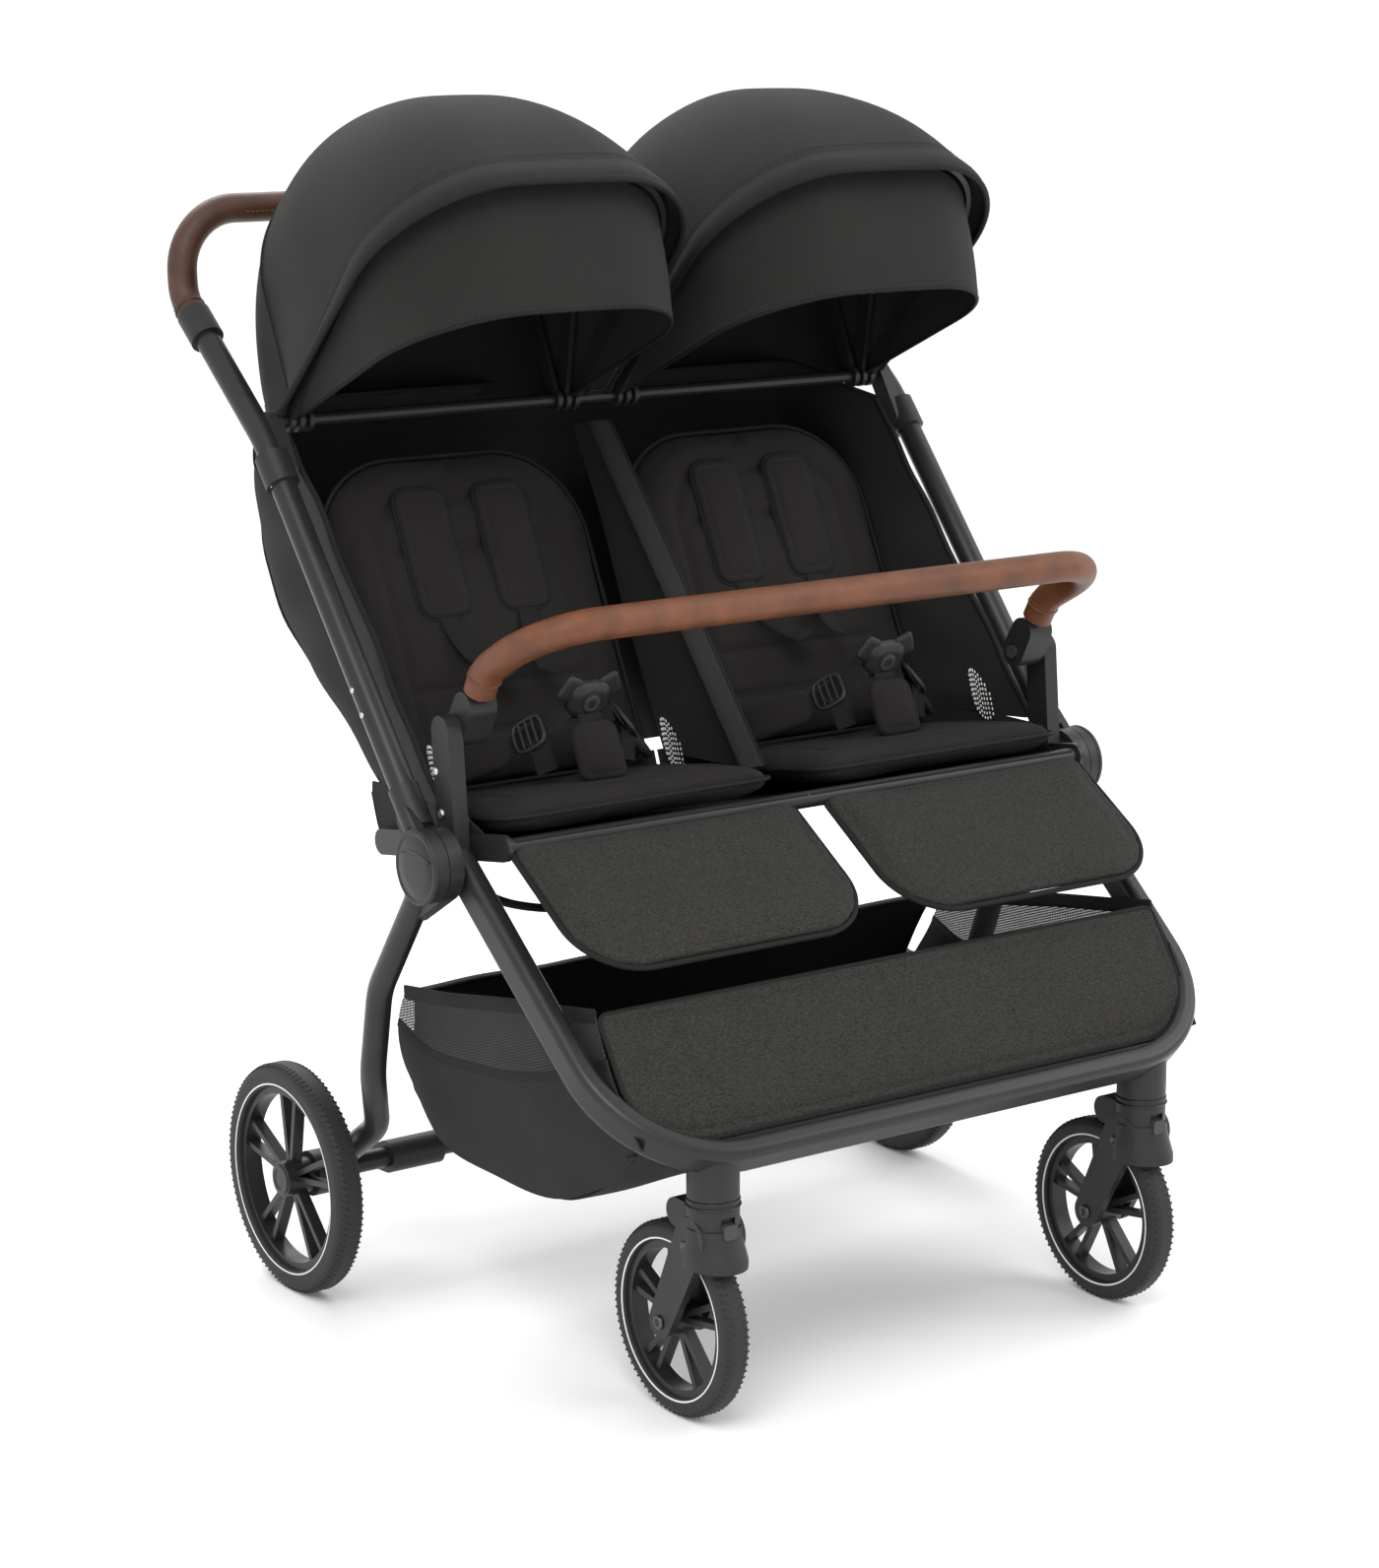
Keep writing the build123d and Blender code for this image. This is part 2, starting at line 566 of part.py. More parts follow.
def build_fold_housing():
    """The housing of the fold button, round the middle of the handle."""
    pocket = (FOLD_BUTTON_WIDTH + 2 * RUNNING_FIT, FOLD_BUTTON_DEPTH + 2 * RUNNING_FIT)
    with BuildPart() as housing:
        with BuildSketch(side_plane(-FOLD_HOUSING_WIDTH / 2)):
            with Locations((HANDLE_BACK, HANDLE_HEIGHT)):
                Circle(FOLD_HOUSING_RADIUS)
            with Locations((HANDLE_BACK, HANDLE_HEIGHT - FOLD_HOUSING_DROP / 2)):
                Rectangle(2 * FOLD_HOUSING_RADIUS - 8, FOLD_HOUSING_DROP)
            with Locations((HANDLE_BACK, HANDLE_HEIGHT)):
                Circle(HANDLE_GRIP / 2 + SEAT_FIT, mode=Mode.SUBTRACT)
        extrude(amount=FOLD_HOUSING_WIDTH)
        with Locations(at(0, HANDLE_BACK, HANDLE_HEIGHT - FOLD_HOUSING_DROP)):
            Box(*pocket, 2 * (FOLD_HOUSING_DROP - HANDLE_GRIP / 2), mode=Mode.SUBTRACT)
    return housing.part


def build_fold_button():
    """The button under the handle that is squeezed to fold the stroller."""
    ceiling = HANDLE_HEIGHT - HANDLE_GRIP / 2 - FOLD_BUTTON_TRAVEL - BODY_GAP
    floor = HANDLE_HEIGHT - FOLD_HOUSING_DROP - FOLD_BUTTON_TRAVEL
    with BuildPart() as button:
        with Locations(at(0, HANDLE_BACK, (ceiling + floor) / 2)):
            Box(FOLD_BUTTON_WIDTH, FOLD_BUTTON_DEPTH, ceiling - floor)
        fillet(button.edges().filter_by(Axis.Z), 4)
    return button.part


# ================================================================ rear frame
def build_rear_leg(side):
    """A rear leg: hinge disc, lug and a tube that turns in beside the wheel to the brake housing."""
    start = step_from(HINGE_BACK, HINGE_HEIGHT, REAR_LEG_ANGLE, SOCKET_START + 2)
    lug_end = step_from(HINGE_BACK, HINGE_HEIGHT, REAR_LEG_ANGLE, SOCKET_START + 24)
    x = side * SIDE_X
    foot_x = side * REAR_LEG_FOOT_X
    across = (x, side * (SIDE_X - REAR_LEG_TURN_IN), foot_x)
    points = [
        at(x, *start),
        *(at(place, WHEELBASE - ahead, height) for place, (ahead, height) in zip(across, REAR_LEG_BENDS)),
        at(foot_x, WHEELBASE, REAR_WHEEL_RADIUS),
    ]
    lean = radians(REAR_LEG_ANGLE)
    with BuildPart() as leg:
        with BuildLine() as route:
            FilletPolyline(*points, radius=list(REAR_LEG_BEND_RADII))
        with BuildSketch(Plane(origin=route.line @ 0, z_dir=route.line % 0)):
            Circle(REAR_LEG_TUBE / 2)
        sweep()
        with BuildSketch(side_plane(side * REAR_DISC_INNER_X)):
            with Locations((HINGE_BACK, HINGE_HEIGHT)):
                Circle(HINGE_RADIUS)
            with Locations((HINGE_BACK, HINGE_HEIGHT), lug_end):
                Circle(REAR_LEG_TUBE / 2)
            make_hull()
        extrude(amount=side * (REAR_DISC_OUTER_X - REAR_DISC_INNER_X))
        pin_middle = (REAR_DISC_INNER_X + REAR_DISC_OUTER_X) / 2
        with Locations(at(side * pin_middle, HINGE_BACK, HINGE_HEIGHT)):
            Cylinder(HINGE_PIN_RADIUS + RUNNING_FIT, 60, rotation=ALONG_X, mode=Mode.SUBTRACT)
        brake_middle = (BRAKE_INNER_X + BRAKE_OUTER_X) / 2
        with Locations(at(side * brake_middle, WHEELBASE, REAR_WHEEL_RADIUS)):
            Cylinder(BRAKE_RADIUS + SEAT_FIT, 80, rotation=ALONG_X, mode=Mode.SUBTRACT)
    return leg.part


def build_rear_axle_tube():
    """The tube across the back between both brake housings."""
    with BuildPart() as tube:
        with Locations(at(0, WHEELBASE, REAR_WHEEL_RADIUS)):
            Cylinder(REAR_AXLE_TUBE / 2, 2 * BRAKE_INNER_X, rotation=ALONG_X)
            Cylinder(REAR_AXLE_TUBE / 2 - TUBE_WALL, 2 * BRAKE_INNER_X, rotation=ALONG_X, mode=Mode.SUBTRACT)
    return tube.part


def build_brake_housings():
    """The round brake housings, each with the axle stub of its rear wheel."""
    stub_end = WHEEL_X + WHEEL_HUB_HALF - HINGE_CAP_WALL - BODY_GAP - HINGE_CAP_WALL
    with BuildPart() as housings:
        for side in SIDES.values():
            with Locations(at(side * (BRAKE_INNER_X + BRAKE_OUTER_X) / 2, WHEELBASE, REAR_WHEEL_RADIUS)):
                Cylinder(BRAKE_RADIUS, BRAKE_OUTER_X - BRAKE_INNER_X, rotation=ALONG_X)
            with Locations(at(side * (BRAKE_OUTER_X + stub_end) / 2, WHEELBASE, REAR_WHEEL_RADIUS)):
                Cylinder(AXLE_RADIUS, stub_end - BRAKE_OUTER_X + 1, rotation=ALONG_X)
    return housings.part


def build_brake_pedal():
    """The foot pedal on the rear axle tube."""
    tip = (WHEELBASE + PEDAL_REACH, REAR_WHEEL_RADIUS - PEDAL_DROP)
    with BuildPart() as pedal:
        with BuildSketch(side_plane(PEDAL_X - PEDAL_WIDTH / 2)):
            with Locations((WHEELBASE, REAR_WHEEL_RADIUS)):
                Circle(PEDAL_COLLAR_RADIUS)
            with Locations(tip):
                Circle(5)
            make_hull()
            with Locations((WHEELBASE, REAR_WHEEL_RADIUS)):
                Circle(REAR_AXLE_TUBE / 2 + RUNNING_FIT, mode=Mode.SUBTRACT)
        extrude(amount=PEDAL_WIDTH)
    return pedal.part


# ================================================================ bumper bar
def bumper_route(start):
    """The bumper bar's corner points, from one start distance off the pivot round to the other."""
    first = step_from(BUMPER_PIVOT_BACK, BUMPER_PIVOT_HEIGHT, BUMPER_ANGLE, start)
    climb = [first, (BUMPER_KNEE_BACK, BUMPER_KNEE_HEIGHT), (BUMPER_BAR_BACK, BUMPER_BAR_HEIGHT)]
    left = [at(-BUMPER_X, *point) for point in climb]
    right = [at(BUMPER_X, *point) for point in reversed(climb)]
    return left + right


def build_bumper_tube():
    """The metal tube inside the bumper bar."""
    return swept_tube(bumper_route(BUMPER_TUBE_START), BUMPER_RADII, BUMPER_TUBE, BUMPER_TUBE - 2 * TUBE_WALL)


def build_bumper_grip():
    """The leather cover of the bumper bar."""
    return swept_tube(bumper_route(BUMPER_SOCKET_LENGTH + 2), BUMPER_RADII, BUMPER_GRIP, BUMPER_TUBE)


def build_bumper_sockets():
    """The plastic ends of the bumper bar that turn on the bracket pins."""
    lean = radians(BUMPER_ANGLE)
    top = step_from(
        BUMPER_PIVOT_BACK, BUMPER_PIVOT_HEIGHT, BUMPER_ANGLE, BUMPER_SOCKET_LENGTH - BUMPER_SOCKET_HALF
    )
    tube_foot = step_from(BUMPER_PIVOT_BACK, BUMPER_PIVOT_HEIGHT, BUMPER_ANGLE, BUMPER_TUBE_START)
    inner = BUMPER_X - BUMPER_SOCKET_HALF
    pocket = BUMPER_BUTTON_TRAVEL + 4
    with BuildPart() as sockets:
        for side in SIDES.values():
            with BuildSketch(side_plane(side * inner)):
                with Locations((BUMPER_PIVOT_BACK, BUMPER_PIVOT_HEIGHT)):
                    Circle(15)
                with Locations(top):
                    Circle(BUMPER_SOCKET_HALF)
                make_hull()
            extrude(amount=side * 2 * BUMPER_SOCKET_HALF)
            bore_plane = Plane(origin=at(side * BUMPER_X, *tube_foot), z_dir=(0, cos(lean), sin(lean)))
            with BuildSketch(bore_plane):
                Circle(BUMPER_TUBE / 2 + SEAT_FIT)
            extrude(amount=BUMPER_SOCKET_LENGTH, mode=Mode.SUBTRACT)
            with Locations(
                at(side * (BUMPER_X + BUMPER_SOCKET_HALF), BUMPER_PIVOT_BACK, BUMPER_PIVOT_HEIGHT)
            ):
                Cylinder(
                    BUMPER_PIN_RADIUS + RUNNING_FIT, 2 * BUMPER_SOCKET_HALF, rotation=ALONG_X, mode=Mode.SUBTRACT
                )
            with Locations(at(side * inner, BUMPER_PIVOT_BACK, BUMPER_PIVOT_HEIGHT)):
                Cylinder(BUMPER_BUTTON_RADIUS + RUNNING_FIT, 2 * pocket, rotation=ALONG_X, mode=Mode.SUBTRACT)
    return sockets.part


def build_bumper_button(side):
    """The button on the inner face of a bumper socket that frees the bar."""
    inner = BUMPER_X - BUMPER_SOCKET_HALF
    middle = side * (inner + (4 - BUMPER_BUTTON_TRAVEL - BODY_GAP) / 2)
    with BuildPart() as button:
        with Locations(at(middle, BUMPER_PIVOT_BACK, BUMPER_PIVOT_HEIGHT)):
            Cylinder(BUMPER_BUTTON_RADIUS, 4 + BUMPER_BUTTON_TRAVEL - BODY_GAP, rotation=ALONG_X)
    return button.part


# ================================================================ seats
def build_seat_pads():
    """The two padded seat bottoms."""
    front = SEAT_FRONT_BACK + 5
    rear = RECLINE_BACK - 14
    front_floor = SEAT_FRONT_HEIGHT + SEAT_TUBE / 2 + BODY_GAP
    rear_floor = SEAT_REAR_HEIGHT + SEAT_TUBE / 2 + 2 * BODY_GAP
    with BuildPart() as pads:
        for side in SIDES.values():
            with BuildSketch(side_plane(side * SEAT_X - SEAT_WIDTH / 2)):
                with BuildLine():
                    Polyline(
                        (front, front_floor),
                        (rear, rear_floor),
                        (rear, rear_floor + SEAT_PAD_THICKNESS),
                        (front, front_floor + SEAT_PAD_THICKNESS),
                        close=True,
                    )
                make_face()
            extrude(amount=SEAT_WIDTH)
        fillet(pads.edges().filter_by(Axis.X), 8)
    return pads.part


def build_crotch_pads():
    """The padded straps that stand up between the legs, one on each seat."""
    seat_top = SEAT_FRONT_HEIGHT + SEAT_TUBE / 2 + SEAT_PAD_THICKNESS
    foot = (CROTCH_FOOT_BACK, seat_top)
    top = (BUCKLE_BACK - 6, BUCKLE_HEIGHT - BUCKLE_TALL / 2 - CROTCH_THICKNESS / 2 - BODY_GAP)
    with BuildPart() as pads:
        for side in SIDES.values():
            with BuildSketch(side_plane(side * SEAT_X - CROTCH_WIDTH / 2)):
                with Locations(foot, top):
                    Circle(CROTCH_THICKNESS / 2)
                make_hull()
            extrude(amount=CROTCH_WIDTH)
    return pads.part


def build_harness_buckles():
    """The harness buckles, one above each crotch pad."""
    with BuildPart() as buckles:
        with Locations([at(side * SEAT_X, BUCKLE_BACK, BUCKLE_HEIGHT) for side in SIDES.values()]):
            Box(BUCKLE_WIDTH, BUCKLE_THICKNESS, BUCKLE_TALL)
        fillet(buckles.edges().filter_by(Axis.Y), 9)
    return buckles.part


def back_plane(side):
    """The middle plane of a backrest: its own Y runs up the back and its Z faces forward."""
    return tilted_plane(side * SEAT_X, RECLINE_BACK, RECLINE_HEIGHT, -BACKREST_TILT)


def build_backrest(side):
    """A padded backrest with round top corners."""
    with BuildPart() as backrest:
        with BuildSketch(back_plane(side)) as outline:
            with Locations((0, (BACKREST_START + BACKREST_LENGTH) / 2)):
                Rectangle(SEAT_WIDTH, BACKREST_LENGTH - BACKREST_START)
            fillet(outline.vertices().group_by(Axis.Y)[-1], BACKREST_CORNER)
        extrude(amount=BACKREST_THICKNESS / 2, both=True)
    return backrest.part


def build_shoulder_pads(side):
    """The two shoulder pads that lie on the front of a backrest."""
    lift = BACKREST_THICKNESS / 2 + BODY_GAP
    face = back_plane(side).offset(lift)
    places = [(-SHOULDER_PAD_SPREAD, SHOULDER_PAD_CENTRE), (SHOULDER_PAD_SPREAD, SHOULDER_PAD_CENTRE)]
    with BuildPart() as pads:
        with BuildSketch(face):
            with Locations(places):
                RectangleRounded(SHOULDER_PAD_WIDTH, SHOULDER_PAD_LENGTH, 14)
        extrude(amount=SHOULDER_PAD_THICKNESS)
    return pads.part


def build_calf_rest(side):
    """A calf rest: a padded board that hangs from the front seat tube."""
    slope = 90 + CALF_SLOPE
    board_plane = tilted_plane(side * SEAT_X, SEAT_FRONT_BACK, SEAT_FRONT_HEIGHT, slope)
    with BuildPart() as board:
        with BuildSketch(board_plane) as outline:
            with Locations((0, (CALF_START + CALF_LENGTH) / 2)):
                Rectangle(CALF_WIDTH, CALF_LENGTH - CALF_START)
            fillet(outline.vertices().group_by(Axis.Y)[-1], CALF_CORNER)
        extrude(amount=CALF_THICKNESS / 2, both=True)
    return board.part


# ================================================================ canopies
def build_canopy_rod():
    """The rod across the stroller that every canopy bow turns on."""
    with BuildPart() as rod:
        with Locations(at(0, CANOPY_BACK, CANOPY_HEIGHT)):
            Cylinder(CANOPY_ROD / 2, 2 * CANOPY_CLAMP_INNER_X, rotation=ALONG_X)
    return rod.part


def build_canopy_clamps():
    """The clamps on the side tubes that hold the canopy rod."""
    lean = radians(UPPER_SLOPE)
    up_tube = hypot(UPPER_BEND_BACK - HINGE_BACK, UPPER_BEND_HEIGHT - HINGE_HEIGHT) - 32
    middle = step_from(HINGE_BACK, HINGE_HEIGHT, UPPER_SLOPE, up_tube)
    inner = CANOPY_CLAMP_INNER_X
    with BuildPart() as clamps:
        for side in SIDES.values():
            x = side * SIDE_X
            clamp_plane = Plane(origin=at(x, *middle), z_dir=(0, cos(lean), sin(lean)))
            with BuildSketch(clamp_plane):
                Circle(CANOPY_CLAMP_RADIUS)
            extrude(amount=CANOPY_CLAMP_LENGTH / 2, both=True)
            with BuildSketch(side_plane(side * inner)):
                with Locations((CANOPY_BACK, CANOPY_HEIGHT)):
                    Circle(CANOPY_ROD / 2 + 4)
                with Locations(middle):
                    Circle(CANOPY_ROD / 2 + 4)
                make_hull()
            extrude(amount=side * (SIDE_X - inner - 3))
        for side in SIDES.values():
            add(build_side_tube_core(side), mode=Mode.SUBTRACT)
    return clamps.part


def build_side_tube_core(side):
    """The full round shape of a side tube, a fixed fit larger, to cut its way through a clamp."""
    x = side * SIDE_X
    foot = step_from(HINGE_BACK, HINGE_HEIGHT, UPPER_SLOPE, SOCKET_START + 4)
    points = [at(x, *foot), at(x, UPPER_BEND_BACK, UPPER_BEND_HEIGHT), at(x, COLLAR_BACK, COLLAR_HEIGHT)]
    with BuildPart() as core:
        with BuildLine() as route:
            FilletPolyline(*points, radius=SIDE_TUBE_BEND)
        with BuildSketch(Plane(origin=route.line @ 0, z_dir=route.line % 0)):
            Circle(SIDE_TUBE / 2 + SEAT_FIT)
        sweep()
    return core.part


def canopy_bow(side, half_width, reach, corner, tilt):
    """A flat strip bent into an arch, with an eye round the rod at each end."""
    arch_plane = tilted_plane(side * CANOPY_X, CANOPY_BACK, CANOPY_HEIGHT, tilt)
    eyes = [at(side * CANOPY_X + sign * half_width, CANOPY_BACK, CANOPY_HEIGHT) for sign in (-1, 1)]
    with BuildPart() as bow:
        with BuildLine(arch_plane) as route:
            FilletPolyline(
                (-half_width, BOW_EYE_RADIUS - 3),
                (-half_width, reach),
                (half_width, reach),
                (half_width, BOW_EYE_RADIUS - 3),
                radius=corner,
            )
        with BuildSketch(Plane(origin=route.line @ 0, x_dir=arch_plane.z_dir, z_dir=route.line % 0)):
            Rectangle(BOW_WIDTH, BOW_THICKNESS)
        sweep()
        with Locations(eyes):
            Cylinder(BOW_EYE_RADIUS, BOW_THICKNESS, rotation=ALONG_X)
            Cylinder(CANOPY_ROD / 2 + RUNNING_FIT, BOW_THICKNESS, rotation=ALONG_X, mode=Mode.SUBTRACT)
    return bow.part


def build_rear_bows():
    """The two rear bows, which stay with the frame."""
    with BuildPart() as bows:
        for side in SIDES.values():
            add(canopy_bow(side, REAR_BOW_HALF_WIDTH, REAR_BOW_REACH, REAR_BOW_CORNER, REAR_BOW_TILT))
    return bows.part


def canopy_section(plane, half_width, reach, corner):
    """The cut of a hood's fabric in one plane: an arch-shaped band that stops short of the rod."""
    with BuildSketch(plane) as band:
        RectangleRounded(2 * half_width, 2 * reach, corner)
        RectangleRounded(
            2 * (half_width - SHELL_WALL), 2 * (reach - SHELL_WALL), corner - SHELL_WALL, mode=Mode.SUBTRACT
        )
        with Locations((0, -reach)):
            Rectangle(4 * half_width, 2 * (reach + SHELL_START), mode=Mode.SUBTRACT)
    return band.sketch


def build_canopy_shell(side):
    """The fabric hood from the rear bow over the middle bow to the front bow, open below."""
    sections = [
        (SHELL_REAR_TILT, REAR_BOW_HALF_WIDTH, REAR_BOW_REACH, REAR_BOW_CORNER),
        (MIDDLE_TILT, MIDDLE_HALF_WIDTH, MIDDLE_REACH, MIDDLE_CORNER),
        (SHELL_FRONT_TILT, RIM_HALF_WIDTH, RIM_REACH, RIM_CORNER),
    ]
    with BuildPart() as shell:
        for tilt, half_width, reach, corner in sections:
            plane = tilted_plane(side * CANOPY_X, CANOPY_BACK, CANOPY_HEIGHT, tilt)
            add(canopy_section(plane, half_width + SHELL_STAND_OFF, reach + SHELL_STAND_OFF, corner + 4))
        loft()
    return shell.part


def build_visor(side):
    """The panel that hangs below the front bow."""
    arch_plane = tilted_plane(side * CANOPY_X, CANOPY_BACK, CANOPY_HEIGHT, VISOR_TOP_TILT)
    with BuildPart() as visor:
        with BuildSketch(arch_plane):
            RectangleRounded(2 * VISOR_HALF_WIDTH, 2 * VISOR_RADIUS, VISOR_CORNER)
            RectangleRounded(
                2 * (VISOR_HALF_WIDTH - SHELL_WALL),
                2 * (VISOR_RADIUS - SHELL_WALL),
                VISOR_CORNER - SHELL_WALL,
                mode=Mode.SUBTRACT,
            )
            with Locations((0, -VISOR_RADIUS)):
                Rectangle(4 * VISOR_HALF_WIDTH, 2 * (VISOR_RADIUS + SHELL_START), mode=Mode.SUBTRACT)
        revolve(
            axis=Axis(at(0, CANOPY_BACK, CANOPY_HEIGHT), (1, 0, 0)), revolution_arc=VISOR_EDGE_TILT - VISOR_TOP_TILT
        )
    return visor.part


# ================================================================ soft shells
BASKET_OUTLINE = [
    (-46, 262),
    (22, 366),
    (103, 352),
    (336, 316),
    (372, 228),
    (322, 148),
    (120, 142),
    (40, 196),
    (-18, 254),
]


def build_basket():
    """The storage basket: an open-topped shell between the front legs."""
    wall = BASKET_WALL
    with BuildPart() as basket:
        with BuildSketch(side_plane(-BASKET_HALF_WIDTH)):
            with BuildLine():
                Polyline(*BASKET_OUTLINE, close=True)
            make_face()
        extrude(amount=2 * BASKET_HALF_WIDTH)
        front_middle = (BASKET_OUTLINE[0][0] + BASKET_OUTLINE[1][0]) / 2 - CENTRE_BACK
        corners = basket.edges().filter_by(lambda edge: abs(edge.center().X) > BASKET_HALF_WIDTH - 1)
        fillet(corners.filter_by(lambda edge: abs(edge.center().Y - front_middle) < 1), BASKET_CORNER)
        with BuildSketch(side_plane(-BASKET_HALF_WIDTH + wall)):
            with BuildLine():
                Polyline(
                    (-39, 264),
                    (22, 358),
                    (40, 420),
                    (330, 420),
                    (332, 312),
                    (366, 228),
                    (320, 148 + wall),
                    (121, 142 + wall),
                    (42, 198 + wall),
                    (-16, 256 + wall),
                    close=True,
                )
            make_face()
        extrude(amount=2 * (BASKET_HALF_WIDTH - wall), mode=Mode.SUBTRACT)
    return basket.part


def build_back_cover():
    """The fabric back of both seats, one curved sheet from under the handle down to the seats."""
    points = [(585, 838), (616, 775), (597, 668), (505, 582), (402, 510), (392, 492)]
    with BuildPart() as cover:
        with BuildLine(side_plane(0)) as route:
            FilletPolyline(*points, radius=[40, 60, 60, 20])
        with BuildSketch(Plane(origin=route.line @ 0, x_dir=(1, 0, 0), z_dir=route.line % 0)):
            Rectangle(2 * BACK_COVER_HALF_WIDTH, BACK_COVER_THICKNESS)
        sweep()
    return cover.part


def build_side_wings():
    """The fabric sides of the seats, from the side tubes in to the back cover."""
    points = [(226, 512), (474, 814), (566, 846), (602, 776), (584, 672), (500, 592), (399, 518), (350, 486)]
    with BuildPart() as wings:
        for side in SIDES.values():
            with BuildSketch(side_plane(side * WING_INNER_X)):
                with BuildLine():
                    Polyline(*points, close=True)
                make_face()
            extrude(amount=side * WING_THICKNESS)
    return wings.part


def build_centre_divider():
    """The fabric wall between the two seats."""
    points = [(172, 514), (476, 808), (512, 792), (366, 488), (330, 500)]
    with BuildPart() as divider:
        with BuildSketch(side_plane(-DIVIDER_THICKNESS / 2)):
            with BuildLine():
                Polyline(*points, close=True)
            make_face()
        extrude(amount=DIVIDER_THICKNESS)
    return divider.part


# ================================================================ all pieces
os.makedirs("parts", exist_ok=True)

loop_solid = front_loop_solid(-SEAT_FIT)
save(build_front_frame_tube(), "front_frame_tube")
save(build_hinge_hubs(), "hinge_hubs")
save(build_caster_sockets(loop_solid), "caster_sockets")
save(build_bumper_brackets(loop_solid), "bumper_brackets")
save(build_seat_side_plates(loop_solid), "seat_side_plates")
save(build_seat_cross_tubes(), "seat_cross_tubes")
save(build_seat_pads(), "seat_pads")
save(build_crotch_pads(), "crotch_pads")
save(build_harness_buckles(), "harness_buckles")
save(build_basket(), "basket")
save(build_hinge_discs(), "hinge_discs")
save(build_handle_tube(), "handle_tube")
save(build_handle_grip(), "handle_grip")
save(build_handle_collars(), "handle_collars")
save(build_fold_housing(), "fold_housing")
save(build_fold_button(), "fold_button")
save(build_canopy_rod(), "canopy_rod")
save(build_canopy_clamps(), "canopy_clamps")
save(build_rear_bows(), "canopy_rear_bows")
save(build_back_cover(), "back_cover")
save(build_side_wings(), "side_wings")
save(build_centre_divider(), "centre_divider")
save(build_rear_axle_tube(), "rear_axle_tube")
save(build_brake_housings(), "brake_housings")
save(build_brake_pedal(), "brake_pedal")
save(build_bumper_tube(), "bumper_tube")
save(build_bumper_grip(), "bumper_grip")
save(build_bumper_sockets(), "bumper_sockets")

for name, side in SIDES.items():
    rear_x = side * WHEEL_X
    front_x = side * CASTER_X
    save(build_side_tube(side), f"side_tube_{name}")
    save(build_rear_leg(side), f"rear_leg_{name}")
    save(build_tyre(rear_x, WHEELBASE, REAR_WHEEL_RADIUS, REAR_TYRE_WIDTH), f"rear_tyre_{name}")
    rear_hub = (REAR_HUB_RADIUS, 2 * WHEEL_HUB_HALF, -side * HINGE_CAP_WALL)
    save(build_rim(rear_x, WHEELBASE, REAR_WHEEL_RADIUS, *rear_hub), f"rear_rim_{name}")
    save(build_tyre(front_x, 0, FRONT_WHEEL_RADIUS, FRONT_TYRE_WIDTH), f"front_tyre_{name}")
    front_hub = (FRONT_HUB_RADIUS, FRONT_TYRE_WIDTH + TYRE_CLEARANCE - BODY_GAP, 0)
    save(build_rim(front_x, 0, FRONT_WHEEL_RADIUS, *front_hub), f"front_rim_{name}")
    save(build_caster_fork(front_x), f"caster_fork_{name}")
    save(build_swivel_lock(front_x), f"swivel_lock_{name}")
    save(build_bumper_button(side), f"bumper_button_{name}")
    save(build_backrest(side), f"backrest_{name}")
    save(build_shoulder_pads(side), f"shoulder_pads_{name}")
    save(build_calf_rest(side), f"calf_rest_{name}")
    middle_bow = canopy_bow(side, MIDDLE_HALF_WIDTH, MIDDLE_REACH, MIDDLE_CORNER, MIDDLE_TILT)
    save(middle_bow, f"canopy_middle_bow_{name}")
    front_bow = canopy_bow(side, RIM_HALF_WIDTH, RIM_REACH, RIM_CORNER, RIM_TILT)
    save(front_bow, f"canopy_front_bow_{name}")
    save(build_canopy_shell(side), f"canopy_shell_{name}")
    save(build_visor(side), f"canopy_visor_{name}")
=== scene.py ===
import json
import logging
import math
from dataclasses import dataclass, field
from enum import Enum
from typing import Any, Callable, Iterable, Sequence

import bmesh
import bpy
import numpy as np
from mathutils import Euler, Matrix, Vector


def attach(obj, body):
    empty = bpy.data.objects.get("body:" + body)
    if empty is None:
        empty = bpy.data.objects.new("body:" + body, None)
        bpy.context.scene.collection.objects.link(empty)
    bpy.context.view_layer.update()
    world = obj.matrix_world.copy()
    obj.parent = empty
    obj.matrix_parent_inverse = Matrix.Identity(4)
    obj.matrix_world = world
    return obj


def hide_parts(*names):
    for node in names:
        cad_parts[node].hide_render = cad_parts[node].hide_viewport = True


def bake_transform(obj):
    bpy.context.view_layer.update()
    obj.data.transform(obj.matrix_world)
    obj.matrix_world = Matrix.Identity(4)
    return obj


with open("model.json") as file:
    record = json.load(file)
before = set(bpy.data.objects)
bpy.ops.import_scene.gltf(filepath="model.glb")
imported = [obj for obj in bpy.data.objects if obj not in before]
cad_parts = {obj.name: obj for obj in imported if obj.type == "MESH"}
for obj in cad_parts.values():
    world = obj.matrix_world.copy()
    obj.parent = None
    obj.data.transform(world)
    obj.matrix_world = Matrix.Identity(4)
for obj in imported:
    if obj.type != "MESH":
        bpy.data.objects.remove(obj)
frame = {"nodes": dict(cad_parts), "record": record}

log = logging.getLogger("stroller")

MM = 0.001
HARD_GLEAM = 0.32                    # specular level of paint, plastic, rubber, leather and steel
CLOTH_GLEAM = 0.12                   # specular level of cloth and tape
STUFFING_FRAMES = 20
WELD = 1e-6                          # corners closer than this, in metres, become one
CENTRE_BACK = 285.0
SIDES = {"left": -1, "right": 1}
Points = np.ndarray


# ------------------------------------------------------------------ places
def at(x: float, back: float, height: float) -> Points:
    """The model point x across, back behind the front axle and height up, all in mm."""
    return np.array((x, back - CENTRE_BACK, height)) * MM


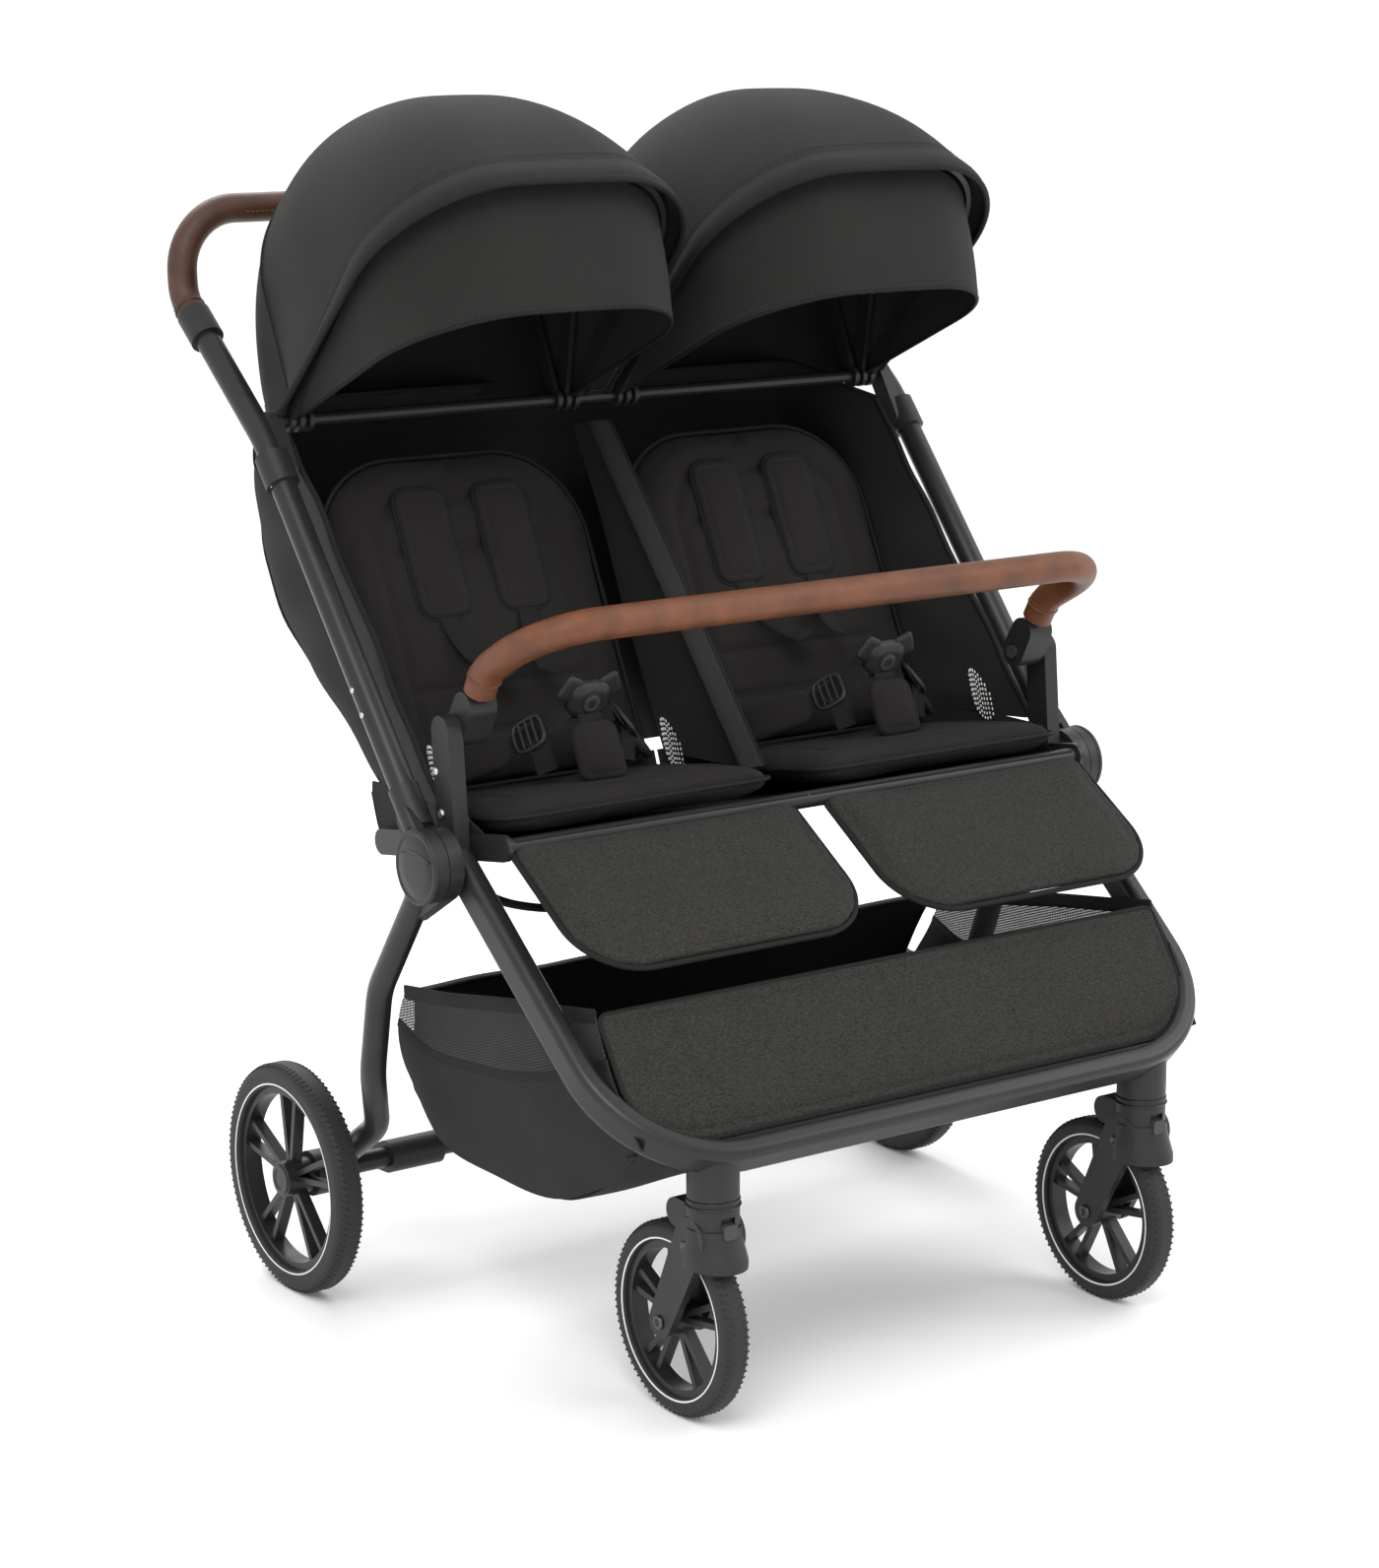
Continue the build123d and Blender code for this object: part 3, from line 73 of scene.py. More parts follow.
def along(points: Sequence[Sequence[float]], count: int, smooth: bool = True) -> Points:
    """Even samples on a line through some points.

    Args:
        points: the points the line goes through, of any dimension.
        count: how many samples to return.
        smooth: whether the line is a rounded curve or straight runs.

    Returns:
        An array of count points.
    """
    knots = np.asarray(points, dtype=float)
    if smooth and len(knots) > 2:
        padded = np.vstack((2 * knots[0] - knots[1], knots, 2 * knots[-1] - knots[-2]))
        fine = []
        for a, b, c, d in zip(padded, padded[1:], padded[2:], padded[3:]):
            for t in np.linspace(0, 1, 24, endpoint=False):
                fine.append(0.5 * (2 * b + (c - a) * t + (2 * a - 5 * b + 4 * c - d) * t**2
                                   + (3 * b - a - 3 * c + d) * t**3))
        knots = np.vstack((fine, knots[-1]))
    steps = np.r_[0, np.cumsum(np.linalg.norm(np.diff(knots, axis=0), axis=1))]
    wanted = np.linspace(0, steps[-1], count)
    return np.stack([np.interp(wanted, steps, knots[:, k]) for k in range(knots.shape[1])], axis=1)


def unit(vectors: Points) -> Points:
    """The vectors at length one."""
    return vectors / np.maximum(np.linalg.norm(vectors, axis=-1, keepdims=True), 1e-12)


def ripple(points: Points, scale: float, seed: float) -> Points:
    """Smooth made-up unevenness between -1 and 1 at each point.

    Args:
        points: an array whose last axis is x, y, z in metres.
        scale: size of one ripple in metres.
        seed: a number that picks the pattern.

    Returns:
        One value for each point.
    """
    total = np.zeros(points.shape[:-1])
    rng = np.random.default_rng(int(seed * 1000))
    for _ in range(5):
        way = unit(rng.normal(size=3))
        total += np.sin(points @ way * (2 * math.pi / scale) * rng.uniform(0.6, 1.5) + rng.uniform(0, 6.3))
    return total / 5


# ------------------------------------------------------------------ materials
class Wire:
    """A number socket that can be used in Python arithmetic."""

    def __init__(self, board: "Board", socket: Any) -> None:
        """Keep the socket and the board that adds its Math nodes."""
        self.board = board
        self.socket = socket

    def _math(self, operation: str, first: Any, second: Any) -> "Wire":
        """A Math node on two values, as a Wire."""
        node = self.board.node("ShaderNodeMath", {"operation": operation}, {0: first, 1: second})
        return Wire(self.board, node.outputs[0])

    def __add__(self, other: Any) -> "Wire":
        """self + other."""
        return self._math("ADD", self, other)

    __radd__ = __add__

    def __mul__(self, other: Any) -> "Wire":
        """self * other."""
        return self._math("MULTIPLY", self, other)

    __rmul__ = __mul__

    def __sub__(self, other: Any) -> "Wire":
        """self - other."""
        return self._math("SUBTRACT", self, other)

    def __rsub__(self, other: Any) -> "Wire":
        """other - self."""
        return self._math("SUBTRACT", other, self)

    def __gt__(self, other: Any) -> "Wire":
        """1 where self is greater than other, else 0."""
        return self._math("GREATER_THAN", self, other)

    def __pow__(self, other: Any) -> "Wire":
        """self to the power of other."""
        return self._math("POWER", self, other)

    def sine(self) -> "Wire":
        """The sine of self."""
        return self._math("SINE", self, 0.0)

    def size(self) -> "Wire":
        """The absolute value of self."""
        return self._math("ABSOLUTE", self, 0.0)


class Board:
    """The node tree of one material."""

    def __init__(self, name: str) -> None:
        """Start a material with only its output and shader."""
        self.material = bpy.data.materials.new(name)
        self.material.use_nodes = True
        self.tree = self.material.node_tree
        self.tree.nodes.clear()
        self.shader = self.node("ShaderNodeBsdfPrincipled")
        self.node("ShaderNodeOutputMaterial", {}, {"Surface": self.shader.outputs[0]})

    def node(self, kind: str, settings: dict[str, Any] | None = None,
             inputs: dict[Any, Any] | None = None) -> Any:
        """Add a node.

        Args:
            kind: the node's type.
            settings: its own settings, set first.
            inputs: values or links of its sockets, by name or number.

        Returns:
            The new node.
        """
        node = self.tree.nodes.new(kind)
        for key, value in (settings or {}).items():
            setattr(node, key, value)
        for key, value in (inputs or {}).items():
            socket = node.inputs[key]
            if isinstance(value, Wire):
                value = value.socket
            if isinstance(value, bpy.types.NodeSocket):
                self.tree.links.new(value, socket)
            else:
                socket.default_value = value
        return node

    def wire(self, node: Any, output: Any = 0) -> Wire:
        """A node's output as a Wire."""
        return Wire(self, node.outputs[output])

    def place(self) -> Any:
        """The object coordinates, in metres."""
        return self.node("ShaderNodeTexCoord").outputs["Object"]

    def noise(self, place: Any, scale: float, detail: float = 2.0) -> Wire:
        """Noise between 0 and 1."""
        node = self.node("ShaderNodeTexNoise", {}, {"Vector": place, "Scale": scale, "Detail": detail})
        return self.wire(node, "Fac")

    def tint(self, mask: Any, dark: Sequence[float], light: Sequence[float]) -> Any:
        """A colour between two colours by a mask."""
        mixer = self.node("ShaderNodeMix", {"data_type": "RGBA"}, {0: mask, 6: (*dark, 1), 7: (*light, 1)})
        return mixer.outputs[2]

    def set(self, **values: Any) -> None:
        """Set or link the shader's sockets; an underscore stands for a space."""
        for key, value in values.items():
            socket = self.shader.inputs[key.replace("_", " ")]
            if isinstance(value, Wire):
                value = value.socket
            if isinstance(value, bpy.types.NodeSocket):
                self.tree.links.new(value, socket)
            else:
                socket.default_value = value

    def emboss(self, height: Wire, strength: float, distance: float) -> None:
        """Feed a height through a Bump node to the shader's normal."""
        bump = self.node("ShaderNodeBump", {}, {"Height": height, "Strength": strength, "Distance": distance})
        self.set(Normal=bump.outputs[0])


class Look(Enum):
    """How a finish is patterned."""

    PAINT = "paint"
    GRAIN = "grain"
    RUBBER = "rubber"
    WEAVE = "weave"
    MELANGE = "melange"
    LEATHER = "leather"
    NETTING = "netting"
    WEBBING = "webbing"
    PLAIN = "plain"


@dataclass(frozen=True)
class Finish:
    """A surface finish and how to make its material."""

    name: str
    look: Look
    dark: tuple[float, float, float]
    light: tuple[float, float, float]
    roughness: float
    pitch: float = 1.0               # size of its pattern, in mm
    relief: float = 0.3
    metallic: float = 0.0
    sheen: float = 0.0
    coat: float = 0.0

    def build(self) -> Any:
        """Make the material.

        Returns:
            The new material.
        """
        board = Board(self.name)
        place = board.place()
        mottle = board.noise(place, 14.0, 3.0)
        board.set(Metallic=self.metallic, Sheen_Weight=self.sheen, Sheen_Roughness=0.5, Coat_Weight=self.coat)
        cloth_like = self.look in (Look.WEAVE, Look.MELANGE, Look.WEBBING, Look.NETTING)
        board.set(Coat_Roughness=0.3, Specular_IOR_Level=CLOTH_GLEAM if cloth_like else HARD_GLEAM)
        pattern = {
            Look.PAINT: self._paint,
            Look.GRAIN: self._grain,
            Look.RUBBER: self._grain,
            Look.WEAVE: self._weave,
            Look.MELANGE: self._melange,
            Look.LEATHER: self._leather,
            Look.NETTING: self._netting,
            Look.WEBBING: self._webbing,
            Look.PLAIN: self._grain,
        }[self.look]
        pattern(board, place, mottle)
        return board.material

    def _wave(self, board: Board, place: Any, way: tuple[float, float, float]) -> Wire:
        """Fine waves across the object along a direction."""
        scaled = board.node("ShaderNodeVectorMath", {"operation": "DOT_PRODUCT"}, {0: place, 1: way})
        return (board.wire(scaled, "Value") * (2 * math.pi / (self.pitch * MM))).sine()

    def _threads(self, board: Board, place: Any) -> Wire:
        """Crossing threads, between -1 and 1."""
        return self._wave(board, place, (1.0, 0.12, 0.1)) * self._wave(board, place, (0.05, 0.72, 0.69))

    def _paint(self, board: Board, place: Any, mottle: Wire) -> None:
        """Smooth satin paint with faint orange peel."""
        peel = board.noise(place, 700.0, 2.0)
        board.set(Base_Color=board.tint(mottle, self.dark, self.light))
        board.set(Roughness=mottle * 0.12 + (self.roughness - 0.06))
        board.emboss(peel, self.relief, 0.0003)

    def _grain(self, board: Board, place: Any, mottle: Wire) -> None:
        """Moulded plastic or rubber with fine spark-eroded grain."""
        grain = board.noise(place, 1000.0 / self.pitch, 3.0)
        board.set(Base_Color=board.tint(mottle, self.dark, self.light))
        board.set(Roughness=grain * 0.2 + (self.roughness - 0.1))
        board.emboss(grain, self.relief, 0.0004)

    def _weave(self, board: Board, place: Any, mottle: Wire) -> None:
        """A plain weave with a soft unevenness of tone."""
        threads = self._threads(board, place)
        fleck = board.noise(place, 900.0, 2.0)
        board.set(Base_Color=board.tint(mottle * 0.5 + fleck * 0.5, self.dark, self.light))
        board.set(Roughness=self.roughness)
        folds = board.noise(place, 9.0, 2.0)
        board.emboss(threads * 0.5 + fleck * 0.6 + folds * 6.0, self.relief, 0.0007)

    def _melange(self, board: Board, place: Any, mottle: Wire) -> None:
        """A coarser weave of two tones of yarn."""
        threads = self._threads(board, place)
        stretch = board.node("ShaderNodeVectorMath", {"operation": "MULTIPLY"},
                             {0: place, 1: (1.0, 3.0, 3.0)})
        yarn = board.noise(stretch.outputs[0], 330.0, 3.0)
        speck = ((yarn - 0.5) * 2.6 + 0.5 + threads * 0.18) * 0.85 + mottle * 0.15
        board.set(Base_Color=board.tint(speck, self.dark, self.light), Roughness=self.roughness)
        board.emboss(threads * 0.7 + yarn, self.relief, 0.0008)

    def _leather(self, board: Board, place: Any, mottle: Wire) -> None:
        """Soft leather with pebbled grain and rubbed tone."""
        cells = board.node("ShaderNodeTexVoronoi", {"feature": "DISTANCE_TO_EDGE"},
                           {"Vector": place, "Scale": 620.0})
        pebble = board.wire(cells, "Distance")
        rubbed = board.noise(place, 38.0, 5.0)
        tone = (rubbed - 0.5) * 1.7 + 0.5 + (mottle - 0.5) * 0.7
        board.set(Base_Color=board.tint(tone, self.dark, self.light))
        board.set(Roughness=rubbed * 0.2 + (self.roughness - 0.1))
        board.emboss((pebble * 5.0) ** 0.5 + board.noise(place, 1500.0), self.relief, 0.0005)

    def _netting(self, board: Board, place: Any, mottle: Wire) -> None:
        """See-through netting: threads with open holes between them."""
        across = self._wave(board, place, (0.45, 0.9, 0.0))
        up = self._wave(board, place, (0.45, 0.3, 0.84))
        thread = 1.0 - (across.size() > 0.6) * (up.size() > 0.52)
        board.set(Base_Color=board.tint(mottle, self.dark, self.light), Roughness=self.roughness,
                  Alpha=thread)

    def _webbing(self, board: Board, place: Any, mottle: Wire) -> None:
        """Narrow woven tape with slanting ribs."""
        ribs = self._wave(board, place, (0.6, 0.57, 0.57))
        board.set(Base_Color=board.tint(mottle * 0.6 + ribs * 0.3, self.dark, self.light))
        board.set(Roughness=self.roughness)
        board.emboss(ribs, self.relief, 0.0006)


FINISHES = {
    "frame_black": Finish("frame_black", Look.PAINT, (0.010, 0.010, 0.011), (0.020, 0.020, 0.021), 0.34,
                          relief=0.06),
    "plastic_black": Finish("plastic_black", Look.GRAIN, (0.010, 0.010, 0.011), (0.019, 0.019, 0.020), 0.46,
                            0.9),
    "button_grey": Finish("button_grey", Look.GRAIN, (0.030, 0.030, 0.032), (0.044, 0.044, 0.046), 0.42, 0.8),
    "rim_black": Finish("rim_black", Look.GRAIN, (0.009, 0.009, 0.010), (0.017, 0.017, 0.018), 0.38, 0.9,
                        0.15),
    "tyre_rubber": Finish("tyre_rubber", Look.RUBBER, (0.012, 0.012, 0.012), (0.024, 0.024, 0.023), 0.62,
                          1.4, 0.4),
    "seat_fabric": Finish("seat_fabric", Look.WEAVE, (0.010, 0.0092, 0.0090), (0.022, 0.020, 0.019), 0.86,
                          1.1, 0.5, sheen=0.02),
    "melange_fabric": Finish("melange_fabric", Look.MELANGE, (0.010, 0.0098, 0.0092),
                             (0.048, 0.0465, 0.042), 0.88, 1.5, 0.55, sheen=0.02),
    "shell_fabric": Finish("shell_fabric", Look.WEAVE, (0.011, 0.0108, 0.0104), (0.023, 0.0225, 0.0215),
                           0.78, 0.9, 0.45, sheen=0.03),
    "handle_leather": Finish("handle_leather", Look.LEATHER, (0.028, 0.0115, 0.0065), (0.078, 0.031, 0.017),
                             0.48, 1.5, 0.35, coat=0.1),
    "bumper_leather": Finish("bumper_leather", Look.LEATHER, (0.072, 0.024, 0.009), (0.160, 0.053, 0.020),
                             0.50, 1.5, 0.35, coat=0.1),
    "netting": Finish("netting", Look.NETTING, (0.030, 0.030, 0.030), (0.060, 0.060, 0.060), 0.7, 4.4),
    "webbing": Finish("webbing", Look.WEBBING, (0.009, 0.009, 0.009), (0.022, 0.022, 0.022), 0.62, 1.6, 0.5),
    "piping": Finish("piping", Look.WEAVE, (0.008, 0.008, 0.008), (0.017, 0.017, 0.016), 0.66, 0.8, 0.4),
    "thread": Finish("thread", Look.GRAIN, (0.022, 0.021, 0.020), (0.036, 0.034, 0.032), 0.7, 0.5),
    "leather_thread": Finish("leather_thread", Look.GRAIN, (0.16, 0.065, 0.03), (0.22, 0.10, 0.05), 0.7, 0.5),
    "steel": Finish("steel", Look.PAINT, (0.45, 0.45, 0.46), (0.62, 0.62, 0.63), 0.32, relief=0.05,
                    metallic=1.0),
    "steel_dark": Finish("steel_dark", Look.PAINT, (0.06, 0.06, 0.06), (0.12, 0.12, 0.12), 0.35, relief=0.05,
                         metallic=1.0),
    "reflector": Finish("reflector", Look.PLAIN, (0.62, 0.62, 0.60), (0.80, 0.80, 0.78), 0.5, 0.6, 0.1),
}


class Stock:
    """Makes each material once."""

    made: dict[str, Any] = {}

    @classmethod
    def get(cls, name: str) -> Any:
        """The material of a finish."""
        if name not in cls.made:
            cls.made[name] = FINISHES[name].build()
        return cls.made[name]


# ------------------------------------------------------------------ meshes
@dataclass
class Form:
    """The corners and faces of a mesh, before it becomes a piece."""

    corners: Points
    faces: list[tuple[int, ...]]

    def __add__(self, other: "Form") -> "Form":
        """Two forms as one."""
        shift = len(self.corners)
        faces = self.faces + [tuple(k + shift for k in face) for face in other.faces]
        return Form(np.vstack((self.corners, other.corners)), faces)

    def mirrored(self) -> "Form":
        """The same form on the other side, still facing outwards."""
        corners = self.corners * np.array((-1, 1, 1))
        return Form(corners, [tuple(reversed(face)) for face in self.faces])


def tile(rows: int, columns: int, base: int = 0, wrap: bool = False,
         flip: bool = False) -> list[tuple[int, ...]]:
    """The quads of a grid of corners.

    Args:
        rows: how many rows of corners it has.
        columns: how many corners are in a row.
        base: number of its first corner.
        wrap: whether the last column joins the first.
        flip: whether the faces turn the other way.

    Returns:
        The faces.
    """
    faces = []
    for i in range(rows - 1):
        for j in range(columns if wrap else columns - 1):
            k = (j + 1) % columns
            quad = (base + i * columns + j, base + (i + 1) * columns + j,
                    base + (i + 1) * columns + k, base + i * columns + k)
            faces.append(tuple(reversed(quad)) if flip else quad)
    return faces


def cloth(grid: Points, thickness: float) -> Form:
    """A closed sheet of some thickness round a grid of points.

    Args:
        grid: rows by columns by 3 points in metres.
        thickness: thickness in mm.

    Returns:
        The sheet's form.
    """
    rows, columns = grid.shape[:2]
    normal = unit(np.cross(np.gradient(grid, axis=0), np.gradient(grid, axis=1)))
    lift = normal * thickness * MM / 2
    corners = np.vstack(((grid + lift).reshape(-1, 3), (grid - lift).reshape(-1, 3)))
    count = rows * columns
    faces = tile(rows, columns) + tile(rows, columns, count, flip=True)
    border = ([(0, j) for j in range(columns)] + [(i, columns - 1) for i in range(1, rows)]
              + [(rows - 1, j) for j in range(columns - 2, -1, -1)]
              + [(i, 0) for i in range(rows - 2, 0, -1)])
    ring = [i * columns + j for i, j in border]
    for a, b in zip(ring, ring[1:] + ring[:1]):
        faces.append((a, b, b + count, a + count))
    return Form(corners, faces)


def area_of(grid: Points) -> float:
    """The area of a grid of points, in square metres."""
    a = grid[1:, :-1] - grid[:-1, :-1]
    b = grid[:-1, 1:] - grid[:-1, :-1]
    c = grid[1:, :-1] - grid[1:, 1:]
    d = grid[:-1, 1:] - grid[1:, 1:]
    first = np.linalg.norm(np.cross(a, b), axis=-1)
    second = np.linalg.norm(np.cross(c, d), axis=-1)
    return float((first + second).sum() / 2)


def frames_of(line: Points, up: Points | None = None) -> tuple[Points, Points]:
    """Two cross directions at each point of a line, carried along without twist.

    Args:
        line: the points of the line.
        up: a direction that the second one leans to all along, if there is one.

    Returns:
        The sideways and the upward directions.
    """
    tangent = unit(np.gradient(line, axis=0))
    guide = np.array((0.0, 0.0, 1.0)) if abs(tangent[0][2]) < 0.9 else np.array((1.0, 0.0, 0.0))
    sides, ups = [], []
    for k, ahead in enumerate(tangent):
        guide = guide if up is None else np.asarray(up if np.ndim(up) == 1 else up[k], dtype=float)
        side = unit(np.cross(ahead, guide))
        guide = np.cross(side, ahead)
        sides.append(side)
        ups.append(guide)
    return np.array(sides), np.array(ups)


def swept(line: Points, section: Points, up: Points | None = None, closed: bool = False) -> Form:
    """A section carried along a line, with closed ends.

    Args:
        line: points in metres.
        section: (sideways, upward) points in mm, going round once.
        up: the upward direction, if it is fixed.
        closed: whether the line is a ring.

    Returns:
        The form.
    """
    side, rise = frames_of(line, up)
    rings = line[:, None] + MM * (section[None, :, :1] * side[:, None] + section[None, :, 1:] * rise[:, None])
    count = len(section)
    corners = rings.reshape(-1, 3)
    faces = tile(len(line), count, wrap=True)
    last = (len(line) - 1) * count
    if closed:
        faces += [(last + j, j, (j + 1) % count, last + (j + 1) % count) for j in range(count)]
    else:
        faces += [tuple(range(count)), tuple(range(last + count - 1, last - 1, -1))]
    return Form(corners, faces)


def round_section(radius: float, count: int = 10, flatten: float = 1.0) -> Points:
    """A circle, or an ellipse that is flatter by a factor, in mm."""
    turn = np.linspace(0, 2 * math.pi, count, endpoint=False)
    return np.stack((radius * np.cos(turn), flatten * radius * np.sin(turn)), axis=1)


def tape_section(width: float, thickness: float) -> Points:
    """The section of a flat tape with softened edges, in mm."""
    w, t = width / 2, thickness / 2
    return np.array(((-w, 0), (-w + t, -t), (-w / 3, -t * 1.1), (w / 3, -t * 1.1), (w - t, -t),
                     (w, 0), (w - t, t), (w / 3, t * 1.1), (-w / 3, t * 1.1), (-w + t, t)))


def turned(profile: Sequence[tuple[float, float]], centre: Points, axis: Points, count: int = 48) -> Form:
    """A profile spun round an axis.

    Args:
        profile: (distance along the axis, radius) points in mm.
        centre: where distance 0 is.
        axis: unit direction of the axis.
        count: steps round.

    Returns:
        The form; a profile that starts and ends on the axis is closed.
    """
    axis = unit(np.asarray(axis, dtype=float))
    guide = np.array((0, 0, 1.0)) if abs(axis[2]) < 0.9 else np.array((1.0, 0, 0))
    first = unit(np.cross(axis, guide))
    second = np.cross(axis, first)
    turn = np.linspace(0, 2 * math.pi, count, endpoint=False)
    spoke = np.cos(turn)[:, None] * first + np.sin(turn)[:, None] * second
    rings = [centre + MM * (distance * axis + radius * spoke) for distance, radius in profile]
    return Form(np.vstack(rings), tile(len(profile), count, wrap=True))


@dataclass
class Panel:
    """A flat place for a pad: its middle and its own three directions."""

    origin: Points
    across: Points
    up: Points

    @property
    def out(self) -> Points:
        """The direction that the panel faces."""
        return np.cross(self.across, self.up)

    def point(self, x: Points, y: Points, z: Points) -> Points:
        """Points of the panel, from distances in mm."""
        local = np.stack(np.broadcast_arrays(x, y, z), axis=-1) * MM
        flat = self.origin + local[..., :1] * self.across + local[..., 1:2] * self.up
        return flat + local[..., 2:] * self.out

    def local(self, points: Points) -> Points:
        """Points in the panel's own directions, in mm."""
        away = points - self.origin
        return np.stack((away @ self.across, away @ self.up, away @ self.out), axis=-1) / MM


@dataclass
class Pad:
    """A stuffed shape with a rounded outline, a soft edge and a crown."""

    panel: Panel
    width: float
    length: float
    thickness: float
    corner_top: float
    corner_bottom: float
    crown: float = 6.0
    back_share: float = 0.5          # how much of the thickness is on the back
    steps: int = 36

    def outline(self, inset: float, count: int = 160, lift: float = 0.0) -> Points:
        """The outline, moved in by inset mm and off the middle plane by lift mm."""
        turn = np.linspace(0, 2 * math.pi, count, endpoint=False) + 1e-4
        a, b = np.cos(turn), np.sin(turn)
        reach = 1 / np.maximum(abs(a), abs(b))
        return self._place(a * reach, b * reach, lift, inset)

    def _flat(self, a: Points, b: Points, inset: float) -> tuple[Points, Points, Points]:
        """Square coordinates from -1 to 1 as a rounded outline, with the depth inside its edge."""
        w, h = self.width / 2 - inset, self.length / 2 - inset
        x, y = a * w, b * h
        corner = np.where(b > 0, self.corner_top, self.corner_bottom) - inset
        corner = np.clip(corner, 2, min(w, h))
        dx, dy = abs(x) - (w - corner), abs(y) - (h - corner)
        inside = (dx > 0) & (dy > 0)
        ring = np.maximum(dx, dy)
        shrink = np.where(inside, ring / np.maximum(np.hypot(dx, dy), 1e-9), 1.0)
        x = np.where(inside, np.sign(x) * (w - corner + dx * shrink), x)
        y = np.where(inside, np.sign(y) * (h - corner + dy * shrink), y)
        depth = np.where(inside, corner - ring, np.minimum(w - abs(a * w), h - abs(b * h)))
        return x, y, np.maximum(depth, 0)

    def _place(self, a: Points, b: Points, z: Any, inset: float = 0.0) -> Points:
        """Panel points of square coordinates at a height."""
        x, y, _ = self._flat(a, b, inset)
        return self.panel.point(x, y, z)

    def form(self) -> Form:
        """The closed pad."""
        line = np.sin(np.linspace(-1, 1, self.steps) * math.pi / 2)
        b, a = np.meshgrid(line, line, indexing="ij")
        x, y, depth = self._flat(a, b, 0.0)
        edge = np.clip(depth / (self.thickness * 0.55), 0, 1)
        round_edge = np.sqrt(1 - (1 - edge) ** 2)
        swell = self.crown * (1 - (2 * x / self.width) ** 2) * (1 - (2 * y / self.length) ** 2)
        front = round_edge * self.thickness * (1 - self.back_share) + swell * edge
        back = -round_edge * self.thickness * self.back_share
        corners = np.vstack((self.panel.point(x, y, front).reshape(-1, 3),
                             self.panel.point(x, y, back).reshape(-1, 3)))
        count = self.steps**2
        faces = tile(self.steps, self.steps, flip=True) + tile(self.steps, self.steps, count)
        return Form(corners, faces)


def press(form: Form, panel: Panel, lines: Iterable[Callable[[Points, Points], Points]], depth: float,
          width: float) -> Form:
    """Press sewn lines into the face of a pad.

    Args:
        form: the pad.
        panel: the place it was made on.
        lines: each gives the distance in mm from a sewn line.
        depth: how deep a line is, in mm.
        width: how wide a line is, in mm.

    Returns:
        The same form with its corners moved.
    """
    local = panel.local(form.corners)
    near = np.zeros(len(local))
    for line in lines:
        near = np.maximum(near, np.exp(-(line(local[:, 0], local[:, 1]) / width) ** 2))
    face = np.clip(local[:, 2] / 3.0, 0, 1)
    form.corners = form.corners - (near * face * depth * MM)[:, None] * panel.out
    return form


def piece(name: str, form: Form, finish: str, body: str | None, smooth: bool = True,
          merge: bool = True) -> Any:
    """Turn a form into an object.

    Args:
        name: the piece's name.
        form: its shape in model coordinates.
        finish: name of its finish.
        body: the body it rides on, or None if it rides on no body.
        smooth: whether its faces are smooth shaded.
        merge: whether touching corners become one and normals are set outwards.

    Returns:
        The new object.
    """
    mesh = bpy.data.meshes.new(name)
    mesh.from_pydata([tuple(c) for c in form.corners], [], form.faces)
    if merge:
        work = bmesh.new()
        work.from_mesh(mesh)
        bmesh.ops.remove_doubles(work, verts=work.verts, dist=WELD)
        bmesh.ops.dissolve_degenerate(work, dist=1e-7, edges=work.edges)
        bmesh.ops.recalc_face_normals(work, faces=work.faces)
        work.to_mesh(mesh)
        work.free()
    if smooth:
        mesh.shade_smooth()
        mesh.set_sharp_from_angle(angle=math.radians(50))
    mesh.materials.append(Stock.get(finish))
    made = bpy.data.objects.new(name, mesh)
    bpy.context.scene.collection.objects.link(made)
    if body is not None:
        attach(made, body)
    log.info("piece %s on %s, %d faces", name, body, len(mesh.polygons))

    return made


def form_of(mesh: Any) -> Form:
    """A mesh as a form."""
    corners = np.empty(len(mesh.vertices) * 3)
    mesh.vertices.foreach_get("co", corners)
    return Form(corners.reshape(-1, 3), [tuple(face.vertices) for face in mesh.polygons])


